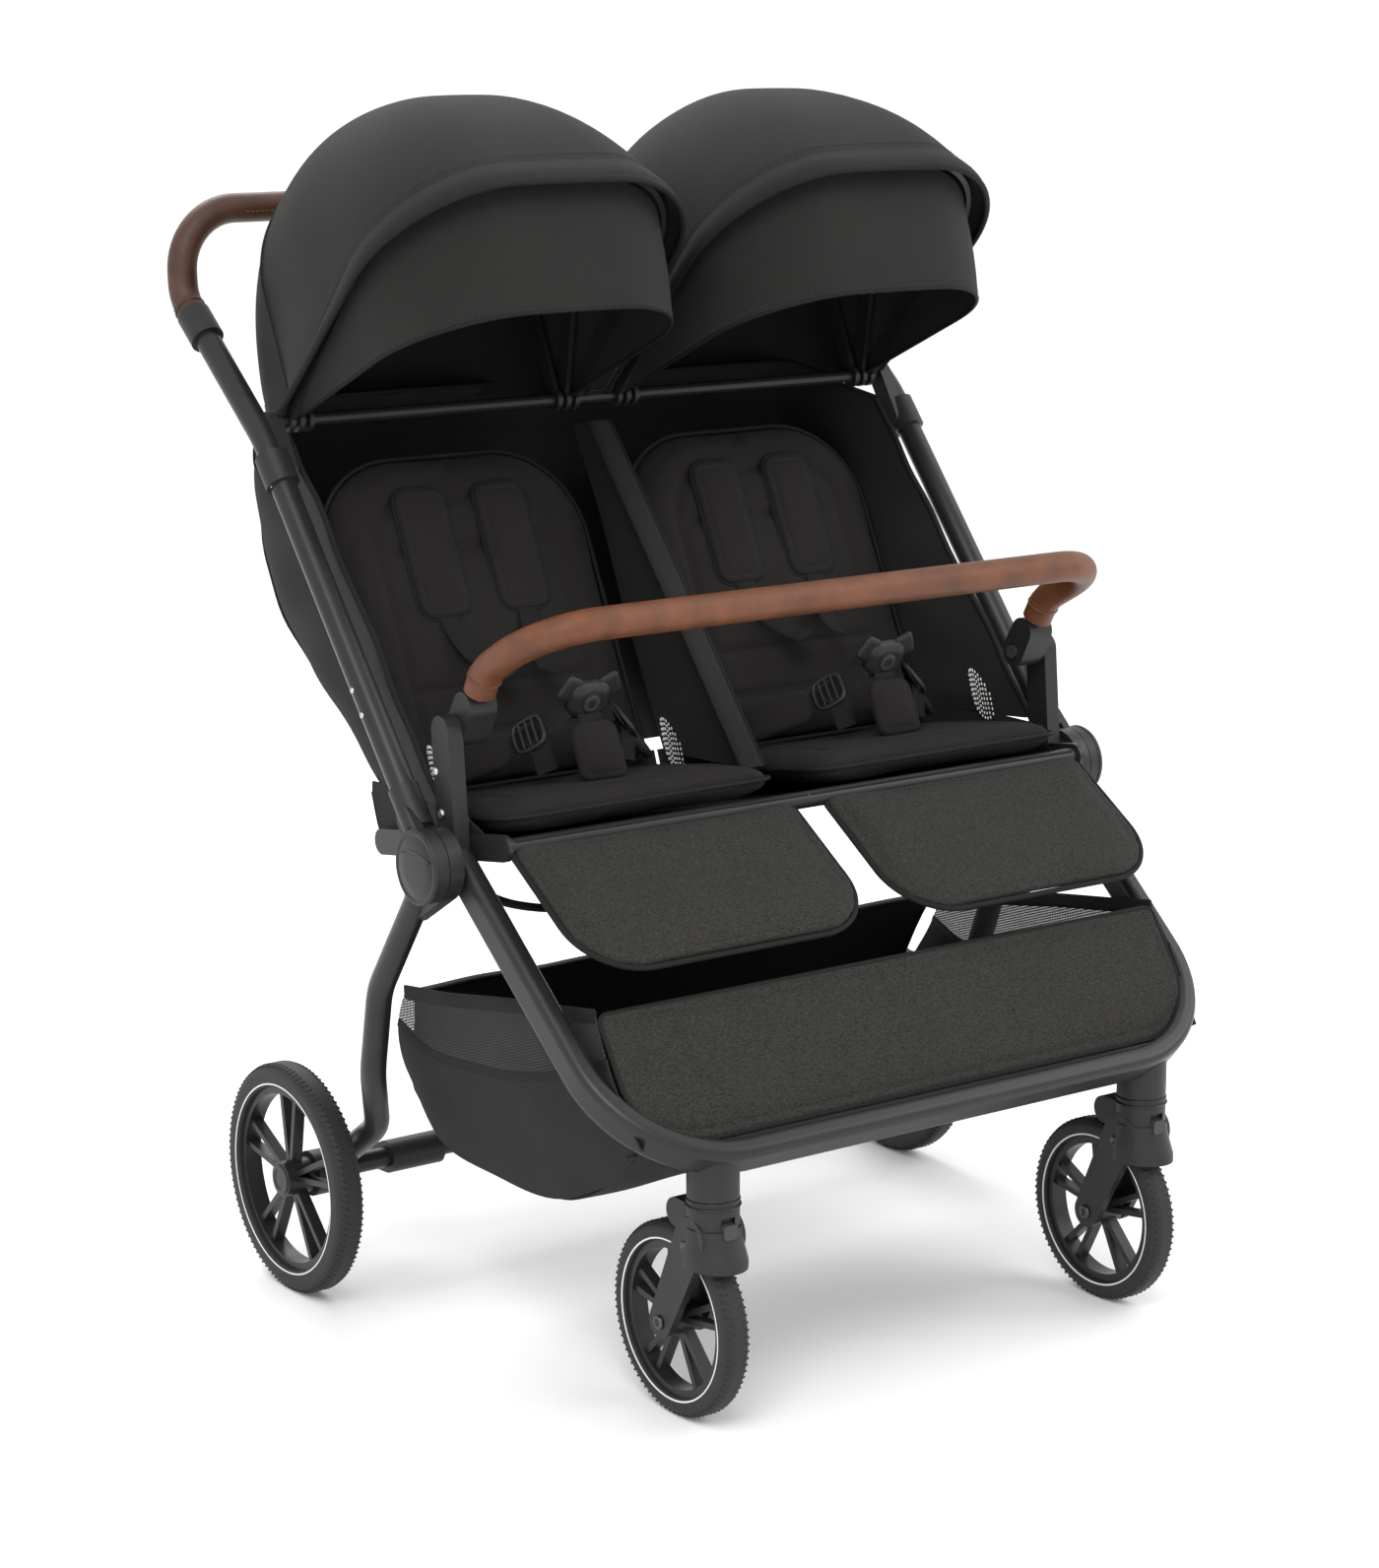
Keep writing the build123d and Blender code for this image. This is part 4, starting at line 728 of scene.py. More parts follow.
def puffed(form: Form, voxel: float = 5.5, pressure: float = 4.0, cap: float = 7.0) -> Form:
    """Inflate a closed form as cloth and smooth it.

    Args:
        form: the pad before it is stuffed.
        voxel: mesh size in mm.
        pressure: pressure inside it.
        cap: the furthest that a corner may move, in mm.

    Returns:
        The stuffed form.
    """
    scene = bpy.context.scene
    mesh = bpy.data.meshes.new("stuffing")
    mesh.from_pydata([tuple(c) for c in form.corners], [], form.faces)
    work = bmesh.new()
    work.from_mesh(mesh)
    bmesh.ops.remove_doubles(work, verts=work.verts, dist=WELD)
    bmesh.ops.recalc_face_normals(work, faces=work.faces)
    work.to_mesh(mesh)
    work.free()
    bag = bpy.data.objects.new("stuffing", mesh)
    scene.collection.objects.link(bag)
    remesh = bag.modifiers.new("remesh", "REMESH")
    remesh.mode = "VOXEL"
    remesh.voxel_size = voxel * MM
    start = form_of(bpy.data.meshes.new_from_object(bag.evaluated_get(bpy.context.evaluated_depsgraph_get())))
    bag.modifiers.clear()
    even = bpy.data.meshes.new("stuffing_even")
    even.from_pydata([tuple(c) for c in start.corners], [], start.faces)
    bag.data = even
    blow = bag.modifiers.new("blow", "CLOTH")
    blow.settings.use_pressure = True
    blow.settings.uniform_pressure_force = pressure
    blow.settings.effector_weights.gravity = 0
    blow.settings.quality = 4
    blow.point_cache.frame_end = STUFFING_FRAMES
    for number in range(1, STUFFING_FRAMES + 1):
        scene.frame_set(number)
    ended = form_of(bpy.data.meshes.new_from_object(bag.evaluated_get(bpy.context.evaluated_depsgraph_get())))
    scene.frame_set(1)
    bpy.data.objects.remove(bag)
    moved = ended.corners - start.corners
    moved -= moved.mean(axis=0)
    far = np.linalg.norm(moved, axis=1, keepdims=True)
    corners = start.corners + moved * np.minimum(1, cap * MM / np.maximum(far, 1e-9))
    return Form(corners, start.faces)


def softened(made: Any, levels: int = 1) -> Any:
    """Give a piece a live subdivision surface."""
    smooth = made.modifiers.new("soft", "SUBSURF")
    smooth.levels = levels
    smooth.render_levels = levels
    return made


# ------------------------------------------------------------------ repeated items
class Spread(Enum):
    """Where repeated items go."""

    ALONG = "along a line"
    SPOTS = "on separate spots"


class Repeater:
    """Geometry Nodes that set copies of one small item along a line or on spots."""

    trees: dict[Spread, Any] = {}

    @classmethod
    def tree(cls, spread: Spread) -> Any:
        """The node tree for one way of spreading, made once."""
        if spread in cls.trees:
            return cls.trees[spread]
        tree = bpy.data.node_groups.new(f"items {spread.value}", "GeometryNodeTree")
        for name, kind in (("Geometry", "Geometry"), ("Item", "Object"), ("Spacing", "Float"),
                           ("Finish", "Material")):
            tree.interface.new_socket(name, in_out="INPUT", socket_type=f"NodeSocket{kind}")
        tree.interface.new_socket("Geometry", in_out="OUTPUT", socket_type="NodeSocketGeometry")
        add, link = tree.nodes.new, tree.links.new
        source, result = add("NodeGroupInput"), add("NodeGroupOutput")
        item, spots = add("GeometryNodeObjectInfo"), add("GeometryNodeInstanceOnPoints")
        real, dress = add("GeometryNodeRealizeInstances"), add("GeometryNodeSetMaterial")
        rise, turn = add("GeometryNodeInputNamedAttribute"), add("FunctionNodeAlignRotationToVector")
        rise.data_type = "FLOAT_VECTOR"
        rise.inputs["Name"].default_value = "rise"
        turn.axis = "Z"
        link(rise.outputs["Attribute"], turn.inputs["Vector"])
        if spread is Spread.ALONG:
            curve, even = add("GeometryNodeMeshToCurve"), add("GeometryNodeResampleCurve")
            even.mode = "LENGTH"
            tangent, ahead = add("GeometryNodeInputTangent"), add("FunctionNodeAlignRotationToVector")
            ahead.axis = "X"
            ahead.pivot_axis = "Z"
            link(source.outputs["Geometry"], curve.inputs[0])
            link(curve.outputs[0], even.inputs[0])
            link(source.outputs["Spacing"], even.inputs["Length"])
            link(tangent.outputs[0], ahead.inputs["Vector"])
            link(turn.outputs[0], ahead.inputs["Rotation"])
            link(ahead.outputs[0], spots.inputs["Rotation"])
            link(even.outputs[0], spots.inputs["Points"])
        else:
            link(turn.outputs[0], spots.inputs["Rotation"])
            link(source.outputs["Geometry"], spots.inputs["Points"])
        link(source.outputs["Item"], item.inputs["Object"])
        link(item.outputs["Geometry"], spots.inputs["Instance"])
        link(spots.outputs[0], real.inputs[0])
        link(real.outputs[0], dress.inputs["Geometry"])
        link(source.outputs["Finish"], dress.inputs["Material"])
        link(dress.outputs[0], result.inputs[0])
        cls.trees[spread] = tree
        return tree

    @classmethod
    def lay(cls, name: str, item: Form, lines: Sequence[Points], rises: Sequence[Points], finish: str,
            body: str,
            slot: str, spread: Spread = Spread.ALONG, spacing: float = 5.0, closed: bool = False) -> Any:
        """Lay copies of an item.

        Args:
            name: the new piece's name.
            item: its form at the origin, lying along X and standing along Z.
            lines: the lines, or one array of spots.
            rises: the direction that an item stands in at each point of each line.
            finish: name of its finish.
            body: the body it rides on.
            slot: the record's material slot; not used.
            spread: whether lines or spots are given.
            spacing: distance between items along a line, in mm.
            closed: whether each line is a ring.

        Returns:
            The finished piece.
        """
        corners = np.vstack(lines)
        edges, base = [], 0
        for line in lines:
            if spread is Spread.ALONG:
                edges += [(base + k, base + k + 1) for k in range(len(line) - 1)]
                edges += [(base + len(line) - 1, base)] if closed else []
            base += len(line)
        carrier_mesh = bpy.data.meshes.new(f"{name}_line")
        carrier_mesh.from_pydata([tuple(c) for c in corners], edges, [])
        store = carrier_mesh.attributes.new("rise", "FLOAT_VECTOR", "POINT")
        rise = np.vstack([np.broadcast_to(r, l.shape) for r, l in zip(rises, lines)])
        store.data.foreach_set("vector", rise.astype(np.float32).ravel())
        item_mesh = bpy.data.meshes.new(f"{name}_item")
        item_mesh.from_pydata([tuple(c) for c in item.corners], [], item.faces)
        item_mesh.shade_smooth()
        sample = bpy.data.objects.new(f"{name}_item", item_mesh)
        carrier = bpy.data.objects.new(f"{name}_line", carrier_mesh)
        for helper in (sample, carrier):
            bpy.context.scene.collection.objects.link(helper)
        modifier = carrier.modifiers.new("items", "NODES")
        modifier.node_group = cls.tree(spread)
        values = {"Item": sample, "Spacing": spacing * MM, "Finish": Stock.get(finish)}
        for socket in modifier.node_group.interface.items_tree:
            if socket.in_out == "INPUT" and socket.name in values:
                modifier[socket.identifier] = values[socket.name]
        graph = bpy.context.evaluated_depsgraph_get()
        mesh = bpy.data.meshes.new_from_object(carrier.evaluated_get(graph))
        mesh.name = name
        for helper in (sample, carrier):
            bpy.data.objects.remove(helper)
        made = bpy.data.objects.new(name, mesh)
        bpy.context.scene.collection.objects.link(made)
        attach(made, body)
        log.info("repeated piece %s on %s, %d faces", name, body, len(mesh.polygons))
        return made


def dash(length: float = 3.4, radius: float = 0.5) -> Form:
    """One stitch, lying along X."""
    line = np.array([(t * length * MM / 2, 0, (0.25 - 0.5 * t * t) * radius * MM)
                     for t in (-1, -0.6, 0, 0.6, 1)])
    form = swept(line, round_section(radius, 6), up=np.array((0, 0, 1.0)))
    middle = form.corners.reshape(5, 6, 3)
    for ring, scale in ((0, 0.3), (4, 0.3)):
        middle[ring] = line[ring] + (middle[ring] - line[ring]) * scale
    return Form(middle.reshape(-1, 3), form.faces)


def dome(radius: float, height: float) -> Form:
    """A rivet head standing along Z."""
    profile = [(-0.4, 0.0), (-0.4, radius), (0.25 * height, radius), (0.7 * height, 0.82 * radius),
               (0.95 * height, 0.45 * radius), (height, 0.0)]
    return turned(profile, np.zeros(3), np.array((0, 0, 1.0)), 14)


def screw_head(radius: float, height: float) -> Form:
    """A socket screw's head with its hexagon recess, standing along Z."""
    profile = [(-0.5, 0.0), (-0.5, radius), (height * 0.7, radius), (height, radius * 0.86),
               (height, radius * 0.52), (height * 0.35, radius * 0.48), (height * 0.3, 0.0)]
    return turned(profile, np.zeros(3), np.array((0, 0, 1.0)), 18)


def ring_line(centre: Points, axis: Points, radius: float, count: int = 60) -> tuple[Points, Points]:
    """A circle's points and their outward directions."""
    axis = unit(np.asarray(axis, dtype=float))
    guide = np.array((0, 0, 1.0)) if abs(axis[2]) < 0.9 else np.array((1.0, 0, 0))
    first = unit(np.cross(axis, guide))
    second = np.cross(axis, first)
    turn = np.linspace(0, 2 * math.pi, count, endpoint=False)[:, None]
    out = np.cos(turn) * first + np.sin(turn) * second
    return centre + out * radius * MM, out


# ------------------------------------------------------------------ hard parts
@dataclass
class Wheels:
    """Trim of the four wheels: light rings, tread and hub caps."""

    rear_radius: float = 111.0
    front_radius: float = 87.5
    rear_x: float = 366.0
    front_x: float = 246.0
    wheelbase: float = 468.0
    rear_width: float = 28.0
    front_width: float = 26.0

    def build(self) -> None:
        """Build the trim of every wheel."""
        for name, side in SIDES.items():
            self._dress(f"rear_{name}", f"rear_wheel_{name}", side * self.rear_x, self.wheelbase,
                        self.rear_radius, self.rear_width, side)
            self._dress(f"front_{name}", f"front_wheel_{name}", side * self.front_x, 0.0, self.front_radius,
                        self.front_width, 0)

    def _dress(self, name: str, body: str, x: float, back: float, radius: float, width: float,
               out: int) -> None:
        """Dress one wheel; out is the side that its closed hub faces, or 0."""
        axis = np.array((1.0, 0, 0))
        ring = None
        for face in (-1, 1):
            centre = at(x + face * (width / 2 - 0.7), back, radius)
            line, _ = ring_line(centre, axis, radius * 0.828, 96)
            band = swept(line, round_section(1.0, 8), up=axis, closed=True)
            ring = band if ring is None else ring + band
        piece(f"{name}_light_ring", ring, "reflector", body)
        lines, rises = [], []
        for face in (-1, 1):
            line, rise = ring_line(at(x + face * width * 0.32, back, radius), axis, radius - 1.5, 120)
            lines.append(line)
            rises.append(unit(rise + face * 0.45 * axis))
        bar = swept(np.array([(-1.3, -3.2, 0), (1.3, 3.2, 0)]) * MM, round_section(1.15, 6, 0.8),
                    up=np.array((0, 0, 1.0)))
        Repeater.lay(f"{name}_tread", bar, lines, rises, "tyre_rubber", body, "tyre_rubber", spacing=6.6,
                     closed=True)
        for face in ((out,) if out else (-1, 1)):
            reach = 15.2 if out else 14.3
            hub = 15.0 if out else 11.5
            profile = [(reach - 1.5, hub), (reach + 0.6, hub - 0.6), (reach + 1.4, hub - 2.4),
                       (reach + 1.4, hub - 5.2), (reach + 0.7, hub - 5.8), (reach + 0.9, hub * 0.3),
                       (reach + 1.0, 0)]
            cap = turned(profile, at(x, back, radius), face * axis, 40)
            piece(f"{name}_hub_cap_{'in' if face * x < 0 else 'out'}", cap, "rim_black", body)


@dataclass
class Casters:
    """Trim of the two casters: bolts, the seam collar and the lower skirt."""

    x: float = 246.0
    back: float = -48.0
    joint_height: float = 211.6
    blade_outer: float = 23.0
    radius: float = 23.0

    def build(self) -> None:
        """Build the trim of both casters."""
        for name, side in SIDES.items():
            x = side * self.x
            body = f"caster_{name}"
            spots = [at(x + face * self.blade_outer, 0, 87.5) for face in (-1, 1)]
            rises = [np.array((face, 0, 0.0)) for face in (-1, 1)]
            Repeater.lay(f"caster_axle_bolts_{name}", screw_head(6.5, 2.6), [np.array(spots)],
                         [np.array(rises)], "steel_dark", body, "plastic_black", Spread.SPOTS)
            spots = [at(x + face * self.blade_outer, -38, 168) for face in (-1, 1)]
            Repeater.lay(f"caster_spring_bolts_{name}", screw_head(4.6, 2.0), [np.array(spots)],
                         [np.array(rises)], "steel_dark", body, "plastic_black", Spread.SPOTS)
            rings = None
            for height, proud in ((self.joint_height - 6, 1.0), (self.joint_height - 1.2, 0.5)):
                line, _ = ring_line(at(x, self.back, height), np.array((0, 0, 1.0)), self.radius, 48)
                band = swept(line, round_section(1.6, 8, 0.8) * (proud, 1), closed=True)
                rings = band if rings is None else rings + band
            piece(f"caster_collar_{name}", rings, "plastic_black", body)
            self._skirt(name, x, body)

    def _skirt(self, name: str, x: float, body: str) -> None:
        """The flared shroud at the foot of a caster's housing."""
        rows = []
        for height, grow, ahead in ((186, 0.6, 0), (176, 1.4, 1), (166, 3.2, 3), (157, 4.6, 6),
                                    (151, 3.6, 8)):
            turn = np.radians(np.linspace(165, 375, 26))
            across = np.cos(turn) * (self.radius + grow)
            away = np.sin(turn) * (self.radius + grow) - ahead * np.clip(-np.sin(turn), 0, 1)
            rows.append(np.array([at(x + a, self.back + b, height) for a, b in zip(across, away)]))
        piece(f"caster_skirt_{name}", cloth(np.array(rows), 1.6), "plastic_black", body)


@dataclass
class Hinges:
    """The round caps of the fold hinges and the rivets of the frame."""

    back: float = 202.0
    height: float = 470.0
    outer_x: float = 385.0
    radius: float = 33.3

    def build(self) -> None:
        """Build caps and rivets on both sides."""
        for name, side in SIDES.items():
            axis = np.array((side, 0.0, 0.0))
            profile = [(-4.0, self.radius + 0.5), (-1.6, self.radius + 0.9), (0.2, self.radius - 0.4),
                       (0.5, self.radius - 3), (-0.4, self.radius - 4), (-0.4, self.radius - 5.2),
                       (0.7, self.radius - 6.4), (1.3, self.radius * 0.5), (1.5, 0.0)]
            cap = turned(profile, at(side * self.outer_x, self.back, self.height), axis, 64)
            piece(f"hinge_cap_{name}", cap, "plastic_black", "upper_frame")
            lift = self.outer_x + 1.5
            seam = np.array([at(side * lift, self.back + b, self.height + h)
                             for b, h in along([(-25, 9), (-8, 13), (10, 14), (25.5, 10)], 30)])
            piece(f"hinge_cap_seam_{name}", swept(seam, round_section(0.9, 6), up=axis), "frame_black",
                  "upper_frame")
            spots = np.array([at(side * 350.2, b, h) for b, h in ((222, 548), (213, 512))])
            Repeater.lay(f"bracket_rivets_{name}", dome(4.0, 2.2), [spots], [np.tile(axis, (2, 1))], "steel",
                         "front_frame", "plastic_black", Spread.SPOTS)
            spots = np.array([at(side * (366 + 12), b, h) for b, h in ((300, 589), (316, 609), (455, 778))])
            Repeater.lay(f"side_tube_rivets_{name}", dome(2.8, 1.6), [spots], [np.tile(axis, (3, 1))],
                         "steel", "upper_frame", "plastic_black", Spread.SPOTS)


@dataclass
class Grips:
    """Sewn seams of the leather on the handle and the bumper bar."""

    bumper_x: float = 320.0
    handle_x: float = 366.0

    def build(self) -> None:
        """Sew both ends of both leather covers."""
        for name, side in SIDES.items():
            self._cuff(f"bumper_{name}", at(side * self.bumper_x, 187.6, 633.6),
                       np.array((0, -0.48, 0.877)), 14.5, "bumper", "bumper_leather")
            self._cuff(f"handle_{name}", at(side * self.handle_x, 624.0, 924.5), np.array((0, 0.79, 0.613)),
                       14.0, "upper_frame", "handle_leather")
        line = np.array([at(x, 97 + 14.2, 688 - 3.0) for x in np.linspace(-255, 255, 60)])
        Repeater.lay("bumper_seam", dash(3.6, 0.5), [line], [np.array((0, 0.97, -0.2))], "leather_thread",
                     "bumper", "bumper_leather", spacing=5.2)
        for sign in (-1, 1):
            line = np.array([at(x, 641 - 13.6, 1016 - 3.0) for x in np.linspace(sign * 42, sign * 300, 50)])
            Repeater.lay(f"handle_seam_{'left' if sign < 0 else 'right'}", dash(3.6, 0.5), [line],
                         [np.array((0, -0.97, -0.2))], "leather_thread", "upper_frame", "handle_leather",
                         spacing=5.2)

    def _cuff(self, name: str, centre: Points, axis: Points, radius: float, body: str, slot: str) -> None:
        """A folded cuff and a ring of stitches at the end of a leather cover."""
        line, _ = ring_line(centre, axis, radius + 0.1, 48)
        piece(f"{name}_cuff", swept(line, round_section(1.1, 8), closed=True), slot, body)
        line, rise = ring_line(centre + unit(axis) * 5 * MM, axis, radius + 0.15, 60)
        Repeater.lay(f"{name}_cuff_stitches", dash(2.8, 0.45), [line], [rise], "leather_thread", body, slot,
                     spacing=4.4, closed=True)


# ------------------------------------------------------------------ seats
ACROSS = np.array((1.0, 0.0, 0.0))


def border(pad: Pad, inset: float) -> Callable[[Points, Points], Points]:
    """The distance from a line that follows a pad's outline, inset mm inside it."""
    def distance(x: Points, y: Points) -> Points:
        """Distance in mm of each place from the sewn border."""
        w, h = pad.width / 2 - inset, pad.length / 2 - inset
        corner = np.where(y > 0, pad.corner_top, pad.corner_bottom) - inset
        corner = np.clip(corner, 4, min(w, h))
        dx, dy = abs(x) - (w - corner), abs(y) - (h - corner)
        outside = np.hypot(np.maximum(dx, 0), np.maximum(dy, 0)) + np.minimum(np.maximum(dx, dy), 0) - corner
        return outside
    return distance


def cross_seam(height: float, half: float) -> Callable[[Points, Points], Points]:
    """The sewn line straight across a pad at a height, out to half mm each way."""

    def away(x: Points, y: Points) -> Points:
        """The distance from the line, in mm."""
        return abs(y - height) + np.maximum(abs(x) - half, 0)

    return away


def ring_seam(radius: float) -> Callable[[Points, Points], Points]:
    """The groove round a pad's middle at a radius in mm."""

    def away(x: Points, y: Points) -> Points:
        """The distance from the groove, in mm."""
        return np.hypot(x, y) - radius

    return away


@dataclass
class Seats:
    """The padded seats, backrests, calf rests and their covers."""

    x: float = 171.5
    width: float = 292.0
    tilt: float = 26.0
    calf_slope: float = 122.3
    seat_front: tuple[float, float] = (147.0, 490.0)
    recline: tuple[float, float] = (358.0, 478.0)
    corner: float = 88.0
    stuffed: dict[str, Form] = field(default_factory=dict)

    def back_panel(self, side: int) -> Panel:
        """The middle plane of a backrest, from its hinge line."""
        lean = math.radians(self.tilt)
        return Panel(at(side * self.x, *self.recline), ACROSS, np.array((0, math.sin(lean), math.cos(lean))))

    def back_pad(self, side: int) -> Pad:
        """The stuffed shape of a backrest."""
        panel = self.back_panel(side)
        panel = Panel(panel.origin + panel.up * 177 * MM, panel.across, panel.up)
        return Pad(panel, self.width - 6, 318.0, 22.0, self.corner, 18.0, crown=3.0, steps=44)

    def seat_pad(self, side: int) -> Pad:
        """The stuffed shape of a seat bottom."""
        fall = math.radians(9.5)
        up = np.array((0, math.cos(fall), -math.sin(fall)))
        return Pad(Panel(at(side * self.x, 256, 495.2), ACROSS, up), self.width - 6, 204.0, 18.0, 26.0,
                   22.0, crown=3.0, steps=36)

    def calf_panel(self, side: int) -> Panel:
        """The middle plane of a calf rest, seen from the front."""
        turn = math.radians(self.calf_slope)
        down = np.array((0, -math.sin(turn), math.cos(turn)))
        return Panel(at(side * self.x, *self.seat_front), -ACROSS, down)

    def calf_pad(self, side: int) -> Pad:
        """The stuffed shape of a calf rest."""
        panel = self.calf_panel(side)
        panel = Panel(panel.origin + panel.up * 81 * MM, panel.across, panel.up)
        return Pad(panel, 304.0, 156.0, 11.0, 60.0, 10.0, crown=3.5, steps=40)

    def build(self) -> None:
        """Build both seats; each pad is stuffed once and mirrored."""
        right = 1
        for kind, pad, cap in (("back", self.back_pad(right), 7.0), ("seat", self.seat_pad(right), 6.0),
                               ("calf", self.calf_pad(right), 3.5)):
            form = puffed(pad.form(), cap=cap)
            local = pad.panel.local(form.corners)
            reach = np.array((pad.width, pad.length)) / np.ptp(local[:, :2], axis=0)
            form.corners = pad.panel.point(local[:, 0] * reach[0], local[:, 1] * reach[1], local[:, 2])
            form.corners = form.corners + unit(pad.panel.out)[None] * (ripple(form.corners, 0.09, len(kind))
                                                                      * 0.9 * MM)[:, None]
            if kind == "back":
                seams = (border(pad, 44), cross_seam(66, 92), cross_seam(-70, 92))
                form = press(form, pad.panel, seams, 5.0, 4.2)
            if kind == "seat":
                form = press(form, pad.panel, (border(pad, 34),), 4.0, 4.0)
            if kind == "calf":
                form = press(form, pad.panel, (border(pad, 9.5),), 1.5, 2.6)
            self.stuffed[kind] = form
        for name, side in SIDES.items():
            self._back(name, side)
            self._seat(name, side)
            self._calf(name, side)

    def _form(self, kind: str, side: int) -> Form:
        """The stuffed form of a pad on one side."""
        form = self.stuffed[kind]
        return form if side > 0 else form.mirrored()

    def _back(self, name: str, side: int) -> None:
        """A backrest with its piping and the slots of its harness."""
        body = f"backrest_{name}"
        pad = self.back_pad(side)
        cushion = softened(piece(f"backrest_cushion_{name}", self._form("back", side), "seat_fabric", body))
        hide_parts(f"backrest_{name}")
        line = pad.outline(-3.0, 200, 1.0)
        piece(f"backrest_piping_{name}", swept(line, round_section(2.3), closed=True), "piping", body)
        for sign in (-1, 1):
            for row, height in enumerate((128.0, 96.0)):
                place = Panel(pad.panel.point(sign * 44.0, height, 12.6), pad.panel.across, pad.panel.up)
                frame_pad = Pad(place, 44.0, 13.0, 2.4, 6.0, 6.0, crown=0.5, steps=12)
                piece(f"harness_slot_{name}_{'ab'[row]}_{'in' if sign * side < 0 else 'out'}",
                      frame_pad.form(), "piping", body)

    def _seat(self, name: str, side: int) -> None:
        """A seat bottom with its piping."""
        pad = self.seat_pad(side)
        cushion = softened(piece(f"seat_cushion_{name}", self._form("seat", side), "seat_fabric",
                                 "front_frame"))
        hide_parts("seat_pads")
        piece(f"seat_piping_{name}", swept(pad.outline(-3.0, 140, 1.0), round_section(2.0), closed=True),
              "piping", "front_frame")
        rows = [at(0, 141, 497), at(0, 150, 486), at(0, 250, 468), at(0, 352, 447), at(0, 373, 461),
                at(0, 387, 496)]
        line = along(rows, 32)
        grid = np.array([[point + np.array((side * x * MM, 0, 0)) for x in np.linspace(2, 319.5, 24)]
                         for point in line])
        sling = piece(f"seat_sling_{name}", cloth(grid, 1.2), "shell_fabric", "front_frame")
        round(area_of(grid) / 0.3175, 3)

    def _calf(self, name: str, side: int) -> None:
        """A calf rest with its piped edge and its stitches."""
        pad = self.calf_pad(side)
        body = f"calf_rest_{name}"
        board = softened(piece(f"calf_cushion_{name}", self._form("calf", side), "melange_fabric", body))
        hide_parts(f"calf_rest_{name}")
        piece(f"calf_piping_{name}", swept(pad.outline(-1.5, 200, -0.5), round_section(2.6), closed=True),
              "piping", body)
        line = pad.outline(9.5, 200, 6.4)
        Repeater.lay(f"calf_stitches_{name}", dash(3.0, 0.42), [line], [pad.panel.out], "thread", body,
                     "melange_fabric", spacing=4.6, closed=True)


